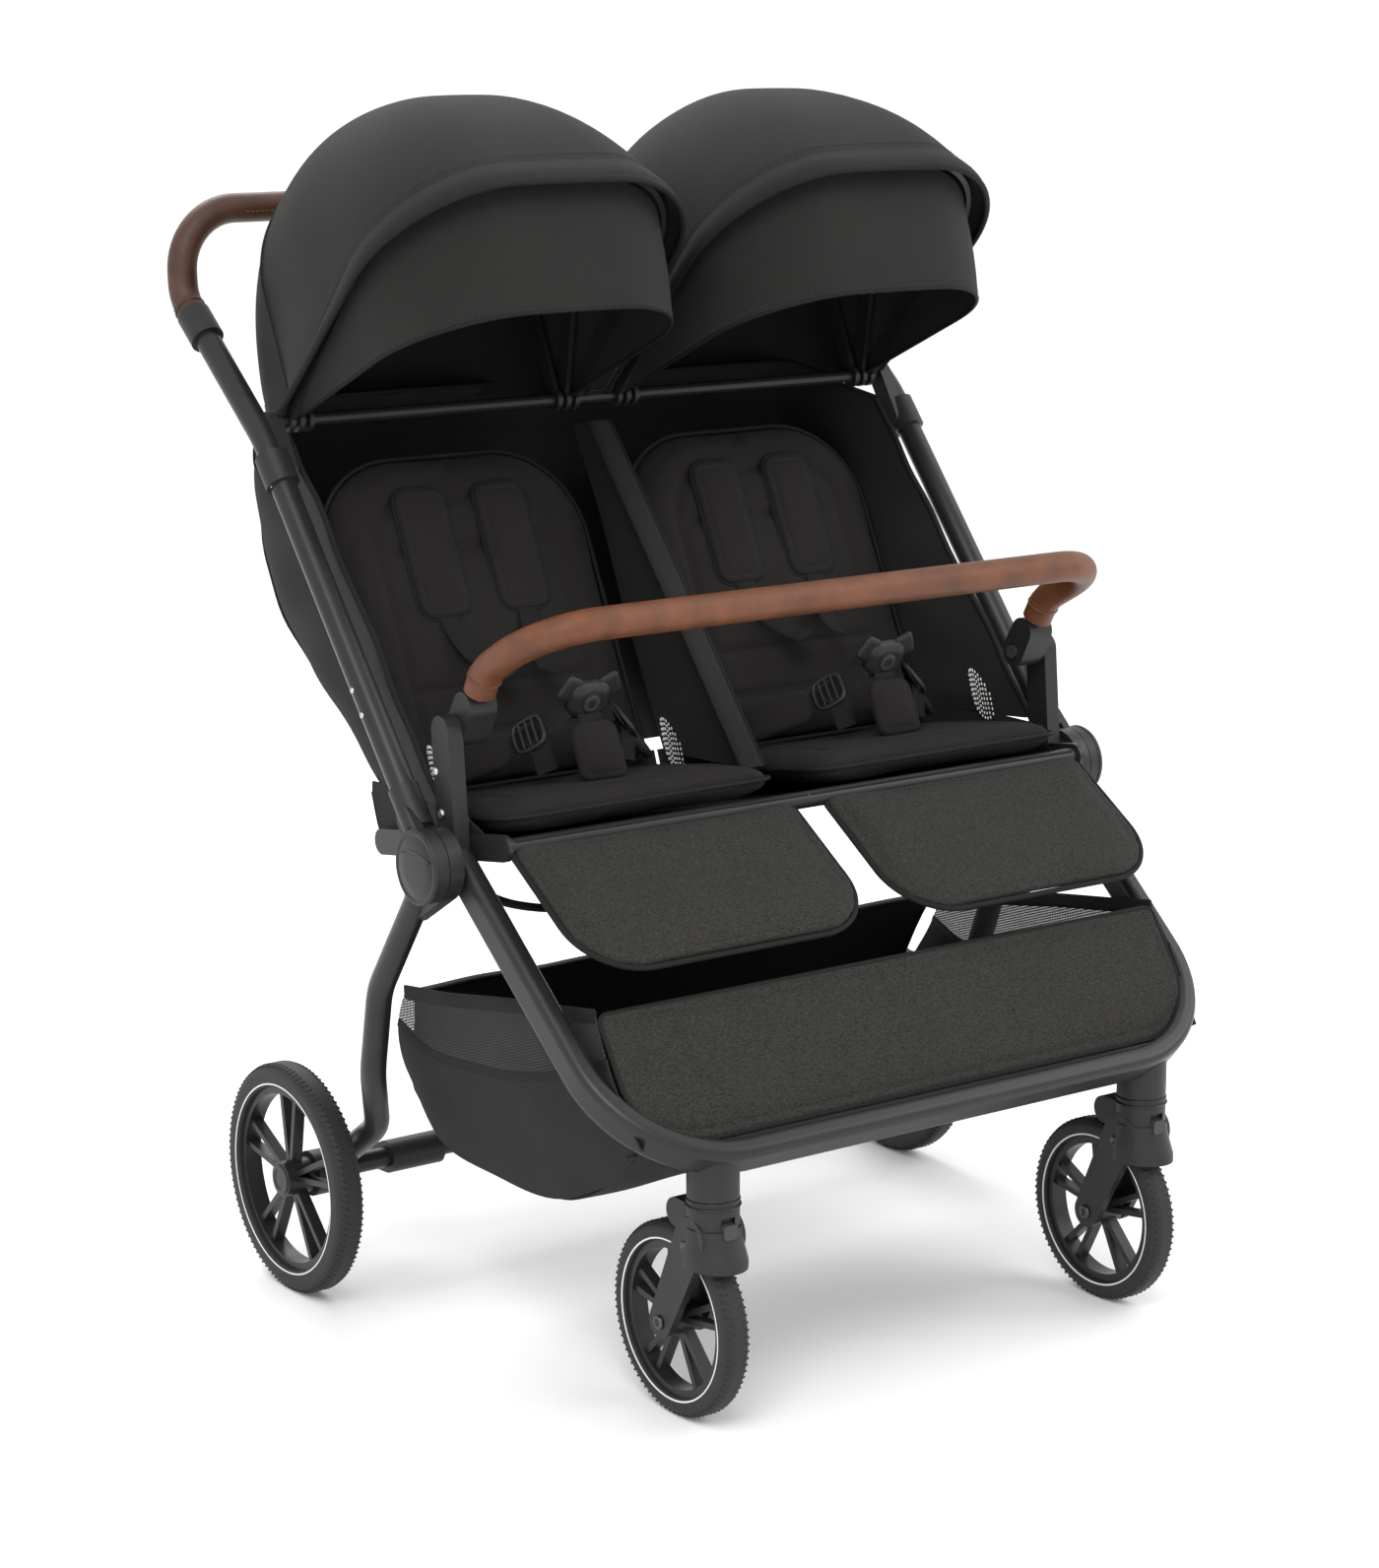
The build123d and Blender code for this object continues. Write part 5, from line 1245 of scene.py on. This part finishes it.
@dataclass
class Harness:
    """Straps, pads, adjusters and buckle of one seat."""

    seats: Seats
    spread: float = 44.0
    buckle: tuple[float, float] = (250.0, 588.0)

    def build(self) -> None:
        """Build the harness of both seats."""
        for name, side in SIDES.items():
            panel = self.seats.back_panel(side)
            self._shoulders(name, side, panel)
            self._buckle(name, side)
            self._waist(name, side)

    def _shoulders(self, name: str, side: int, panel: Panel) -> None:
        """The two shoulder straps and their pads."""
        body = f"backrest_{name}"
        first = None
        for sign in (-1, 1):
            where = "in" if sign * side < 0 else "out"
            place = Panel(panel.point(sign * self.spread, 238.0, 20.0), panel.across, panel.up)
            pad = Pad(place, 56.0, 128.0, 9.0, 15.0, 15.0, crown=4.0, back_share=0.4, steps=26)
            form = press(pad.form(), place, (border(pad, 6.5),), 1.8, 2.0)
            made = softened(piece(f"shoulder_pad_{name}_{where}", form, "seat_fabric", body))
            if first is None:
                first = made
                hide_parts(f"shoulder_pads_{name}")
            Repeater.lay(f"shoulder_pad_stitches_{name}_{where}", dash(2.6, 0.4),
                         [pad.outline(6.5, 120, 5.2)],
                         [place.out], "thread", body, "seat_fabric", spacing=4.2, closed=True)
            piece(f"shoulder_pad_piping_{name}_{where}",
                  swept(pad.outline(-0.6, 120, 0.5), round_section(1.5, 8),
                       closed=True), "piping", body)
            top = along([(sign * 44, 300, 10), (sign * 44, 303, 17), (sign * 44, 298, 20),
                         (sign * 44, 286, 19)], 24)
            line = panel.point(top[:, 0], top[:, 1], top[:, 2])
            piece(f"shoulder_strap_{name}_{where}", swept(line, tape_section(25, 1.6), up=self._ups(line)),
                  "webbing", body)
            low = along([(sign * 44, 184, 21), (sign * 43, 168, 23), (sign * 36, 140, 30),
                         (sign * 27, 117, 47), (sign * 20, 101, 66)], 40)
            line = panel.point(low[:, 0], low[:, 1], low[:, 2])
            piece(f"chest_strap_{name}_{where}", swept(line, tape_section(22, 1.6), up=panel.out),
                  "webbing", body)

    def _ups(self, line: Points) -> Points:
        """The way a strap faces as it goes over its slot: square to its line and off the side."""
        return np.cross(ACROSS, unit(np.gradient(line, axis=0)))

    def _buckle(self, name: str, side: int) -> None:
        """The buckle with its button and two tongues, and the pad below it."""
        x = side * self.seats.x
        lean = math.radians(-24)
        up = np.array((0, math.sin(lean), math.cos(lean)))
        front = Panel(at(x, *self.buckle), ACROSS, up)
        shape = Pad(front, 44.0, 38.0, 15.0, 12.0, 14.0, crown=2.0, steps=24)
        form = press(shape.form(), front, (ring_seam(10.5),), 1.6, 1.2)
        made = piece(f"buckle_{name}", form, "plastic_black", "front_frame")
        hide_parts("harness_buckles")
        button = turned([(5.5, 9.0), (9.4, 8.6), (9.9, 7.4), (9.3, 4.0), (9.1, 0.0)], front.origin,
                        front.out, 32)
        piece(f"buckle_button_{name}", button, "button_grey", "front_frame")
        for sign in (-1, 1):
            tongue = Pad(Panel(front.point(sign * 22.0, 13.0, 0.5), unit(ACROSS + sign * 0.5 * up),
                               unit(up - sign * 0.5 * ACROSS)), 20.0, 26.0, 5.0, 5.0, 5.0, crown=0.5,
                         steps=12)
            piece(f"buckle_tongue_{name}_{'ab'[sign > 0]}", tongue.form(), "plastic_black", "front_frame")
        rise = at(0, 244, 566) - at(0, 222, 520)
        up = unit(rise)
        place = Panel(at(x, 232, 543), ACROSS, up)
        pad = Pad(place, 50.0, 56.0, 9.0, 13.0, 9.0, crown=4.0, steps=24)
        form = press(pad.form(), place, (border(pad, 6.0),), 1.6, 2.0)
        made = softened(piece(f"crotch_pad_{name}", form, "seat_fabric", "front_frame"))
        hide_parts("crotch_pads")
        line = np.array([at(x, b, h) for b, h in along([(222, 511), (229, 530), (240, 556), (247, 575)], 20)])
        piece(f"crotch_strap_{name}", swept(line, tape_section(25, 1.8), up=place.out), "webbing",
              "front_frame")

    def _waist(self, name: str, side: int) -> None:
        """The waist straps with their pads and ladder adjusters."""
        x = side * self.seats.x
        for sign in (-1, 1):
            where = "in" if sign * side < 0 else "out"
            knots = [(x + sign * 24, 250, 582), (x + sign * 44, 262, 562), (x + sign * 70, 290, 540),
                     (x + sign * 100, 318, 524), (x + sign * 124, 340, 512)]
            line = np.array([at(*point) for point in along(knots, 60)])
            up = unit(np.array((sign * 0.35, -0.55, 0.75)))
            piece(f"waist_strap_{name}_{where}", swept(line, tape_section(22, 1.6), up=up), "webbing",
                  "front_frame")
            ahead = unit(line[44] - line[30])
            place = Panel(line[38] + up * 1.5 * MM, ahead, unit(np.cross(up, ahead)))
            pad = Pad(place, 74.0, 40.0, 8.0, 15.0, 15.0, crown=3.0, steps=22)
            made = softened(piece(f"waist_pad_{name}_{where}", pad.form(), "seat_fabric", "front_frame"))
            middle = line[16] + up * 1.5 * MM
            ahead = unit(line[20] - line[12])
            self._adjuster(f"adjuster_{name}_{where}", Panel(middle, ahead, unit(np.cross(up, ahead))))
            tail = along([tuple(line[17] / MM),
                          tuple((line[14] + up * 0.006 + np.array((0, -0.006, -0.012))) / MM),
                          tuple((line[12] + np.array((0, -0.014, -0.036))) / MM)], 24) * MM
            piece(f"strap_tail_{name}_{where}", swept(tail, tape_section(20, 1.4), up=up), "webbing",
                  "front_frame")

    def _adjuster(self, name: str, place: Panel) -> None:
        """A D-shaped ladder buckle: a rounded frame with three bars."""
        turn = np.linspace(0, 2 * math.pi, 40, endpoint=False)
        a, b = np.cos(turn), np.sin(turn)
        loop = place.point(15 * np.sign(a) * abs(a) ** 0.6, 16 * np.sign(b) * abs(b) ** 0.5,
                           np.zeros(40) + 2.0)
        form = swept(loop, round_section(2.4, 8), closed=True)
        for x in (-7.0, 0.0, 7.0):
            bar = place.point(np.full(8, x), np.linspace(-14.5, 14.5, 8), np.full(8, 3.0))
            form = form + swept(bar, round_section(1.9, 8))
        piece(name, form, "plastic_black", "front_frame")


# ------------------------------------------------------------------ canopies and fabric shells
def declare_sheet(grid: Points) -> None:
    area = area_of(grid)


@dataclass
class Canopies:
    """The two folding hoods with their visors and hems."""

    x: float = 182.0
    back: float = 490.0
    height: float = 830.0
    rear_tilt: float = -26.0         # where the cloths meet, from upright
    middle_tilt: float = 8.0
    rim_tilt: float = 42.0
    hem_tilt: float = -92.0
    blend_half: float = 0.055        # half a run from bow to bow, in metres
    visor_tilts: tuple[float, float] = (43.5, 66.0)
    visor_top: tuple[float, float, float] = (158.0, 304.0, 112.0)  # half width, reach and corner
    visor_taper: tuple[float, float, float] = (8.0, 34.0, 10.0)    # how much smaller they are at its edge
    keys: tuple[tuple[float, float, float, float], ...] = (
        (-92.0, 143.0, 108.0, 60.0), (-60.0, 145.0, 160.0, 90.0), (-26.0, 147.0, 244.0, 122.0),
        (8.0, 157.0, 292.0, 130.0), (42.0, 166.0, 318.0, 112.0))
    columns: int = 96

    def _sizes(self, tilt: float) -> tuple[float, float, float]:
        """Half width, reach and corner of the hood at a tilt."""
        table = along(self.keys, 120)
        return tuple(float(np.interp(tilt, table[:, 0], table[:, k])) for k in (1, 2, 3))

    def arch(self, side: int, tilt: float, sizes: tuple[float, float, float], crown: float = 9.0,
             foot: float = 4.0) -> Points:
        """An arch in the plane that leans forward by tilt degrees about the rod."""
        half, reach, corner = sizes
        corner = min(corner, reach - foot - 4, half - 2)
        turn = np.linspace(0, math.pi / 2, 24)
        left = np.stack((-half + corner - corner * np.cos(turn), reach - corner + corner * np.sin(turn)),
                        axis=1)
        right = np.stack((half - corner + corner * np.sin(turn), reach - corner + corner * np.cos(turn)),
                         axis=1)
        flat = along(np.vstack(((-half, foot), left, right, (half, foot))), self.columns, smooth=False)
        rise = np.clip((flat[:, 1] - reach * 0.4) / (reach * 0.6), 0, 1)
        y = flat[:, 1] + (crown * (1 - (flat[:, 0] / half) ** 2) - crown * 0.7) * rise
        lean = math.radians(tilt)
        return np.array([at(side * self.x + a, self.back - b * math.sin(lean),
                            self.height + b * math.cos(lean))
                         for a, b in zip(flat[:, 0], y)])

    def _sheet(self, side: int, tilts: Iterable[float]) -> Points:
        """The hood's surface between tilts."""
        grid = np.array([self.arch(side, tilt, self._sizes(tilt)) for tilt in tilts])
        middle = at(side * self.x, self.back, self.height)
        slack = ripple(grid, 0.16, 7.1)[..., None] * 1.4 * MM
        return grid + unit(grid - middle) * slack

    def build(self) -> None:
        """Build both hoods."""
        for name, side in SIDES.items():
            self._hood(name, side)
            self._visor(name, side)

    def _hood(self, name: str, side: int) -> None:
        """The three cloths of a hood, its hems and its stitches."""
        middle, front = f"canopy_middle_{name}", f"canopy_front_{name}"
        rear = self._sheet(side, np.linspace(self.hem_tilt, self.rear_tilt, 18))
        made = piece(f"hood_rear_{name}", cloth(rear, 1.4), "shell_fabric", "upper_frame")
        declare_sheet(rear)
        for part, low, high, bodies in (
                ("back", self.rear_tilt, self.middle_tilt, ("upper_frame", middle)),
                ("front", self.middle_tilt, self.rim_tilt, (middle, front))):
            grid = self._sheet(side, np.linspace(low, high, 20))
            made = piece(f"hood_{part}_{name}", cloth(grid, 1.4), "shell_fabric", None)
            declare_sheet(grid)
            if part == "back":
                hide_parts(f"canopy_shell_{name}")
            centre = at(side * self.x, self.back, self.height)
            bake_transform(made)
        seam = self.arch(side, self.rear_tilt, tuple(v + 0.8 for v in self._sizes(self.rear_tilt)))
        piece(f"hood_seam_{name}", swept(seam, round_section(1.8, 8)), "piping", "upper_frame")
        half, reach, corner = self._sizes(self.rim_tilt)
        lip = np.array([self.arch(side, self.rim_tilt + k * 1.1, (half + grow, reach + grow, corner + grow))
                        for k, grow in enumerate((0.6, 2.6, 4.6, 5.6, 5.0))])
        piece(f"hood_lip_{name}", cloth(lip, 3.0), "shell_fabric", front)
        edge = self.arch(side, 46.6, (half + 4.4, reach + 4.4, corner + 4.4))
        piece(f"hood_rim_{name}", swept(edge, round_section(3.0)), "piping", front)
        for where, tilt, grow, body in (("rim", 40.0, 1.3, front), ("rear", -23.5, 1.3, "upper_frame")):
            sizes = tuple(v + grow for v in self._sizes(tilt))
            line = self.arch(side, tilt, sizes)
            centre = at(side * self.x, self.back, self.height)
            Repeater.lay(f"hood_{where}_stitches_{name}", dash(3.4, 0.42), [line], [unit(line - centre)],
                         "thread", body, "shell_fabric", spacing=5.4)
        for sign in (-1, 1):
            where = "in" if sign * side < 0 else "out"
            column = 0 if sign < 0 else -1
            line = rear[:, column]
            piece(f"hood_hem_{name}_{where}", swept(line, round_section(2.2, 8)), "piping", "upper_frame")

    def _visor(self, name: str, side: int) -> None:
        """The panel below the rim, with its hem."""
        body = f"canopy_front_{name}"
        rows = []
        top, edge = self.visor_tilts
        for tilt in np.linspace(top, edge, 16):
            share = (tilt - top) / (edge - top)
            shares = (share, share**0.8, share)
            sizes = tuple(v - less * k for v, less, k in zip(self.visor_top, self.visor_taper, shares))
            rows.append(self.arch(side, tilt, sizes))
        grid = np.array(rows)
        made = piece(f"visor_cloth_{name}", cloth(grid, 1.6), "shell_fabric", body)
        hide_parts(f"canopy_visor_{name}")
        declare_sheet(grid)
        piece(f"visor_hem_{name}", swept(grid[-1], round_section(1.9, 8)), "piping", body)
        centre = at(side * self.x, self.back, self.height)
        line = grid[-2] + unit(grid[-2] - centre) * 1.1 * MM
        Repeater.lay(f"visor_stitches_{name}", dash(3.2, 0.4), [line], [unit(line - centre)], "thread", body,
                     "shell_fabric", spacing=5.4)


@dataclass
class SeatShell:
    """The fabric back and sides behind both seats, and the wall between them."""

    half: float = 319.0
    profile: tuple[tuple[float, float], ...] = (
        (585, 838), (613, 800), (618, 755), (604, 690), (560, 625), (500, 578), (440, 536), (398, 505))
    tube_line: tuple[tuple[float, float], ...] = ((478, 808), (226, 512))
    fade: tuple[float, float, float] = (0.1, 0.4, 0.8)  # how much the first and last rows wrinkle

    def build(self) -> None:
        """Build the shell, its piping and the centre wall."""
        grid = self._grid()
        made = softened(piece("seat_shell", cloth(grid, 2.0), "shell_fabric", "upper_frame"))
        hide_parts("back_cover", "side_wings")
        declare_sheet(grid)
        columns = grid.shape[1]
        for name, column in (("left", int(columns * 0.2)), ("right", int(columns * 0.8))):
            line = grid[2:-2, column] + np.array((0, 1.5, 0)) * MM
            piece(f"shell_piping_{name}", swept(line, round_section(2.4, 8)), "piping", "upper_frame")
            edge = grid[:, 0 if name == "left" else -1]
            piece(f"shell_edge_{name}", swept(edge, round_section(3.0, 8)), "piping", "upper_frame")
        piece("shell_top_hem", swept(grid[0], round_section(2.6, 8)), "piping", "upper_frame")
        for name, side in SIDES.items():
            self._skirt(name, side)
        self._windows()
        self._divider()

    def _grid(self) -> Points:
        """The shell: at each height, round the back from one side tube to the other."""
        rows, columns = 40, 90
        half = self.half
        plan = ((0.0, -half - 22), (0.35, -half - 8), (0.8, -half),
                (0.97, -half + 16))  # share of the way back, x
        flat = (-half + 60, -half / 2, 0, half / 2, half - 60)
        backs, fronts = along(self.profile, rows), along(self.tube_line, rows)
        grid = []
        for (back, height), (front, front_height) in zip(backs, fronts):
            run, rise = back - front, height - front_height
            corners = [(x, front + run * share, front_height + rise * share) for share, x in plan]
            other = [(-x, b, h) for x, b, h in reversed(corners)]
            middle = [(x, back, height) for x in flat]
            grid.append([at(*p) for p in along(corners + middle + other, columns)])
        grid = np.array(grid)
        normal = unit(np.cross(np.gradient(grid, axis=0), np.gradient(grid, axis=1)))
        shape = ripple(grid * (1, 2.2, 1.6), 0.15, 3.3) * 4.5 + ripple(grid, 0.06, 5.7) * 1.2
        keep = np.ones(rows)
        keep[:3] = self.fade
        keep[-3:] = self.fade[::-1]
        return grid + normal * (shape * keep[:, None])[..., None] * MM

    def _skirt(self, name: str, side: int) -> None:
        """The cloth between a side wall and the seat's sling."""
        foot = along([(side * 319, b, h) for b, h in ((150, 478), (250, 462), (352, 446), (386, 494))], 30)
        top = ((331, 214, 512), (329, 270, 512), (320, 350, 509), (317, 388, 506))
        head = along([(side * x, b, h) for x, b, h in top], 30)
        grid = np.array([[at(*(a + (b - a) * t)) for t in np.linspace(0, 1, 8)] for a, b in zip(foot, head)])
        made = piece(f"seat_skirt_{name}", cloth(grid, 1.4), "shell_fabric", "front_frame")
        declare_sheet(grid)

    def _windows(self) -> None:
        """Rows of light dashes where the side cloth turns to open netting."""
        for name, x, back, height in (("right", 318.0, 270.0, 532.0), ("left", -318.0, 270.0, 532.0),
                                      ("centre", -3.2, 348.0, 508.0)):
            face = -1.0 if x > 0 or name == "centre" else 1.0
            lines = []
            for k in range(9):
                share = (k - 4) / 4.5
                length = 42 * math.sqrt(max(0.05, 1 - share**2))
                start = np.array((share * 18, -length / 2 + share * 8))
                ends = [start, start + (length * 0.32, length)]
                lines.append(np.array([at(x + face * 2.2, back + b, height + h) for b, h in along(ends, 12)]))
            Repeater.lay(f"net_dashes_{name}", dash(3.2, 0.75), lines, [np.array((face, 0, 0))] * 9,
                         "reflector", "upper_frame", "shell_fabric", spacing=4.6)

    def _divider(self) -> None:
        """The wall between the seats with its padded front band."""
        front = along([(482, 806), (420, 734), (330, 628), (228, 505)], 34)
        rear = along([(524, 800), (470, 700), (420, 590), (372, 496)], 34)
        grid = np.array([[at(0, *(f + (r - f) * t)) for t in np.linspace(0, 1, 10)] for f,
                         r in zip(front, rear)])
        grid[..., 0] += ripple(grid, 0.13, 2.2) * 2.2 * MM
        made = piece("divider_cloth", cloth(grid, 2.4), "shell_fabric", "upper_frame")
        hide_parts("centre_divider")
        declare_sheet(grid)
        line = np.array([at(0, *point) for point in front])
        ahead = np.array((0, -0.76, 0.65))
        band = swept(line, tape_section(26, 5.0), up=ahead)
        piece("divider_band", band, "shell_fabric", "upper_frame")
        for sign in (-1, 1):
            edge = line + (np.array((sign * 13, 0, 0)) + ahead * 1.2) * MM
            piece(f"divider_piping_{'ab'[sign > 0]}", swept(edge, round_section(1.8, 8)), "piping",
                  "upper_frame")


@dataclass
class Basket:
    """The storage basket: a sagging bag with a stiff front and netting along its sides."""

    half: float = 316.0
    taper: float = 30.0              # how much narrower it is below on each side
    outline: tuple[tuple[float, float], ...] = (
        (-20, 252), (40, 206), (80, 184), (130, 168), (220, 162), (320, 170), (356, 198), (370, 228),
                                                (336, 316))

    def build(self) -> None:
        """Build the front, bag, sides and tapes."""
        self._front()
        self._bag()
        for name, side in SIDES.items():
            self._side(name, side)

    def _front(self) -> None:
        """The padded front with big round lower corners."""
        top, low = np.array((22.0, 366.0)), np.array((-46.0, 262.0))
        length = float(np.hypot(*(top - low)))
        up = unit(np.array((0, *(top - low))))
        middle = (top + low) / 2
        panel = Panel(at(0, *middle), ACROSS, up)
        pad = Pad(panel, 2 * self.half, length, 6.0, 8.0, 92.0, crown=3.0, steps=60)
        form = pad.form()
        form.corners = form.corners + (ripple(form.corners, 0.2, 4.4) * 1.2 * MM)[:, None] * panel.out
        made = softened(piece("basket_front", press(form, panel, (border(pad, 9.0),), 1.6, 2.6),
                              "melange_fabric", "front_frame"))
        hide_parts("basket")
        piece("basket_front_piping", swept(pad.outline(-0.5, 260, 0.5), round_section(2.2), closed=True),
              "piping", "front_frame")

    def _bag(self) -> None:
        """The floor and back of the basket."""
        line = along(self.outline, 44)
        across = np.linspace(-1, 1, 60)
        narrow = self.taper * np.sin(np.linspace(0, math.pi, 44)) ** 0.4
        grid = np.array([[at(u * (self.half - inset), b, h) for u in across] for (b, h),
                         inset in zip(line, narrow)])
        sag = (1 - across**2)[None, :] * np.sin(np.linspace(0, math.pi, 44))[:, None]
        grid[..., 2] += sag * 2.0 * MM + ripple(grid, 0.12, 1.9) * 2.0 * MM
        made = piece("basket_bag", cloth(grid, 1.6), "shell_fabric", "front_frame")
        declare_sheet(grid)
        piece("basket_back_tape", swept(grid[-1], tape_section(12, 2.4)), "webbing", "front_frame")

    def _side(self, name: str, side: int) -> None:
        """A side: dark cloth below, netting above, tape along the top."""
        top = along([(22, 366), (70, 358), (150, 346), (250, 328), (336, 316)], 40)
        foot = along([(-44, 266), (0, 235), (40, 206), (130, 168), (220, 162), (320, 170), (370, 228)], 40)
        drop = np.linspace(0, 1, 18)
        narrow = self.taper * np.sin(np.linspace(0, 0.85 * math.pi, 40)) ** 0.4
        grid = np.array([[at(side * (self.half + 2 + 5 * math.sin(math.pi * t) - inset * t**1.6),
                             *(a + (b - a) * t))
                          for t in drop] for a, b, inset in zip(top, foot, narrow)])
        grid[..., 0] += ripple(grid, 0.08, 6.2) * 1.2 * MM
        netting, lower = grid[:, :7], grid[:, 6:]
        made = piece(f"basket_net_{name}", cloth(netting, 0.8), "netting", "front_frame")
        declare_sheet(netting)
        made = piece(f"basket_side_{name}", cloth(lower, 1.4), "shell_fabric", "front_frame")
        declare_sheet(lower)
        up = np.array((side, 0.0, 0.0))
        piece(f"basket_tape_{name}", swept(grid[:, 0], tape_section(14, 2.4), up=up), "webbing",
              "front_frame")
        piece(f"basket_band_{name}", swept(grid[:, 6], tape_section(10, 2.0), up=up), "webbing",
              "front_frame")


@dataclass
class Trim:
    """Zip pulls at the hoods' corners and the small straps of the frame."""

    def build(self) -> None:
        """Build the trim on both sides."""
        for name, side in SIDES.items():
            corner = (side * 321.0, 576.0, 812.0)
            loop = along([(corner[0], corner[1], corner[2]),
                          (corner[0] + side * 3, corner[1] + 7, corner[2] - 16),
                          (corner[0] + side * 2, corner[1] + 9, corner[2] - 34),
                          (corner[0], corner[1] + 2, corner[2] - 36),
                          (corner[0] - side * 1, corner[1] - 1, corner[2] - 16), corner], 60)
            piece(f"zip_loop_{name}", swept(np.array([at(*p) for p in loop]), round_section(1.3, 8)),
                  "webbing", "upper_frame")
            place = Panel(at(corner[0] + side * 1, corner[1], corner[2] + 6), np.array((0, 1.0, 0)),
                          np.array((0, 0, 1.0)))
            pull = Pad(place, 9.0, 18.0, 3.0, 3.0, 3.0, crown=0.6, steps=12)
            piece(f"zip_pull_{name}", pull.form(), "steel", "upper_frame")
            knots = [(side * 326, 214, 442), (side * 300, 176, 430), (side * 262, 150, 428),
                     (side * 236, 152, 446), (side * 228, 160, 478)]
            line = np.array([at(*p) for p in along(knots, 50)])
            piece(f"carry_strap_{name}", swept(line, tape_section(18, 3.0)), "webbing", "front_frame")


# ------------------------------------------------------------------ studio
@dataclass
class Studio:
    """Floor, light and camera."""

    camera_place: tuple[float, float, float] = (-1.9438, -2.6825, 1.2142)
    aim: tuple[float, float, float] = (0.5666, 0.7951, -0.2164)
    roll: float = -0.0026
    lens: float = 81.98
    floor_half: float = 14.0
    floor_tone: float = 0.93
    sky: float = 1.12
    lamps: tuple[tuple[str, tuple[float, float, float], float, float], ...] = (
        ("key", (-2.2, -2.4, 3.4), 90.0, 2.2), ("fill", (2.8, -1.6, 2.4), 40.0, 2.4),
        ("back", (0.6, 2.6, 3.0), 60.0, 2.0))       # name, place, power and size

    def build(self) -> None:
        """Set up the studio."""
        scene = bpy.context.scene
        scene.view_settings.view_transform = "Standard"
        board = Board("studio_floor")
        board.set(Base_Color=(*[self.floor_tone] * 3, 1), Roughness=0.9)
        mesh = bpy.data.meshes.new("floor")
        far = self.floor_half
        mesh.from_pydata([(-far, -far, 0), (far, -far, 0), (far, far, 0), (-far, far, 0)], [], [(0, 1, 2, 3)])
        mesh.materials.append(board.material)
        floor = bpy.data.objects.new("floor", mesh)
        scene.collection.objects.link(floor)
        world = bpy.data.worlds.new("studio")
        world.use_nodes = True
        world.node_tree.nodes["Background"].inputs["Color"].default_value = (1, 1, 1, 1)
        world.node_tree.nodes["Background"].inputs["Strength"].default_value = self.sky
        scene.world = world
        for lamp in self.lamps:
            self._lamp(*lamp)
        camera = bpy.data.cameras.new("camera")
        camera.lens = self.lens
        camera.sensor_width = 36.0
        eye = bpy.data.objects.new("camera", camera)
        eye.location = self.camera_place
        turn = Vector(self.aim).to_track_quat("-Z", "Y")
        eye.rotation_euler = (turn.to_matrix() @ Euler((0, 0, self.roll)).to_matrix()).to_euler()
        scene.collection.objects.link(eye)
        scene.camera = eye

    def _lamp(self, name: str, place: tuple[float, float, float], power: float, size: float) -> None:
        """A big soft light that faces the stroller."""
        data = bpy.data.lights.new(name, "AREA")
        data.energy = power
        data.size = size
        lamp = bpy.data.objects.new(name, data)
        lamp.location = place
        lamp.rotation_euler = (Vector((0, 0, 0.5)) - Vector(place)).to_track_quat("-Z", "Y").to_euler()
        bpy.context.scene.collection.objects.link(lamp)


def dress_frame() -> None:
    """Give every CAD node the material of its slot."""
    for entry in frame["record"]["subparts"]:
        node = frame["nodes"][entry["node"]]
        finish = Stock.get(entry["material_slot"])
        if not node.material_slots:
            node.data.materials.append(finish)
        for holder in node.material_slots:
            holder.material = finish
        log.info("node %s wears %s", entry["node"], entry["material_slot"])


def main() -> None:
    """Build the stroller's looks round its frame."""
    logging.basicConfig(level=logging.INFO, format="%(name)s: %(message)s")
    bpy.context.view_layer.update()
    dress_frame()
    seats = Seats()
    for part in (Studio(), Wheels(), Casters(), Hinges(), Grips(), seats, Harness(seats), Canopies(),
                 SeatShell(), Basket(), Trim()):
        log.info("building %s", type(part).__name__)
        part.build()


if __name__ == "__main__":
    main()
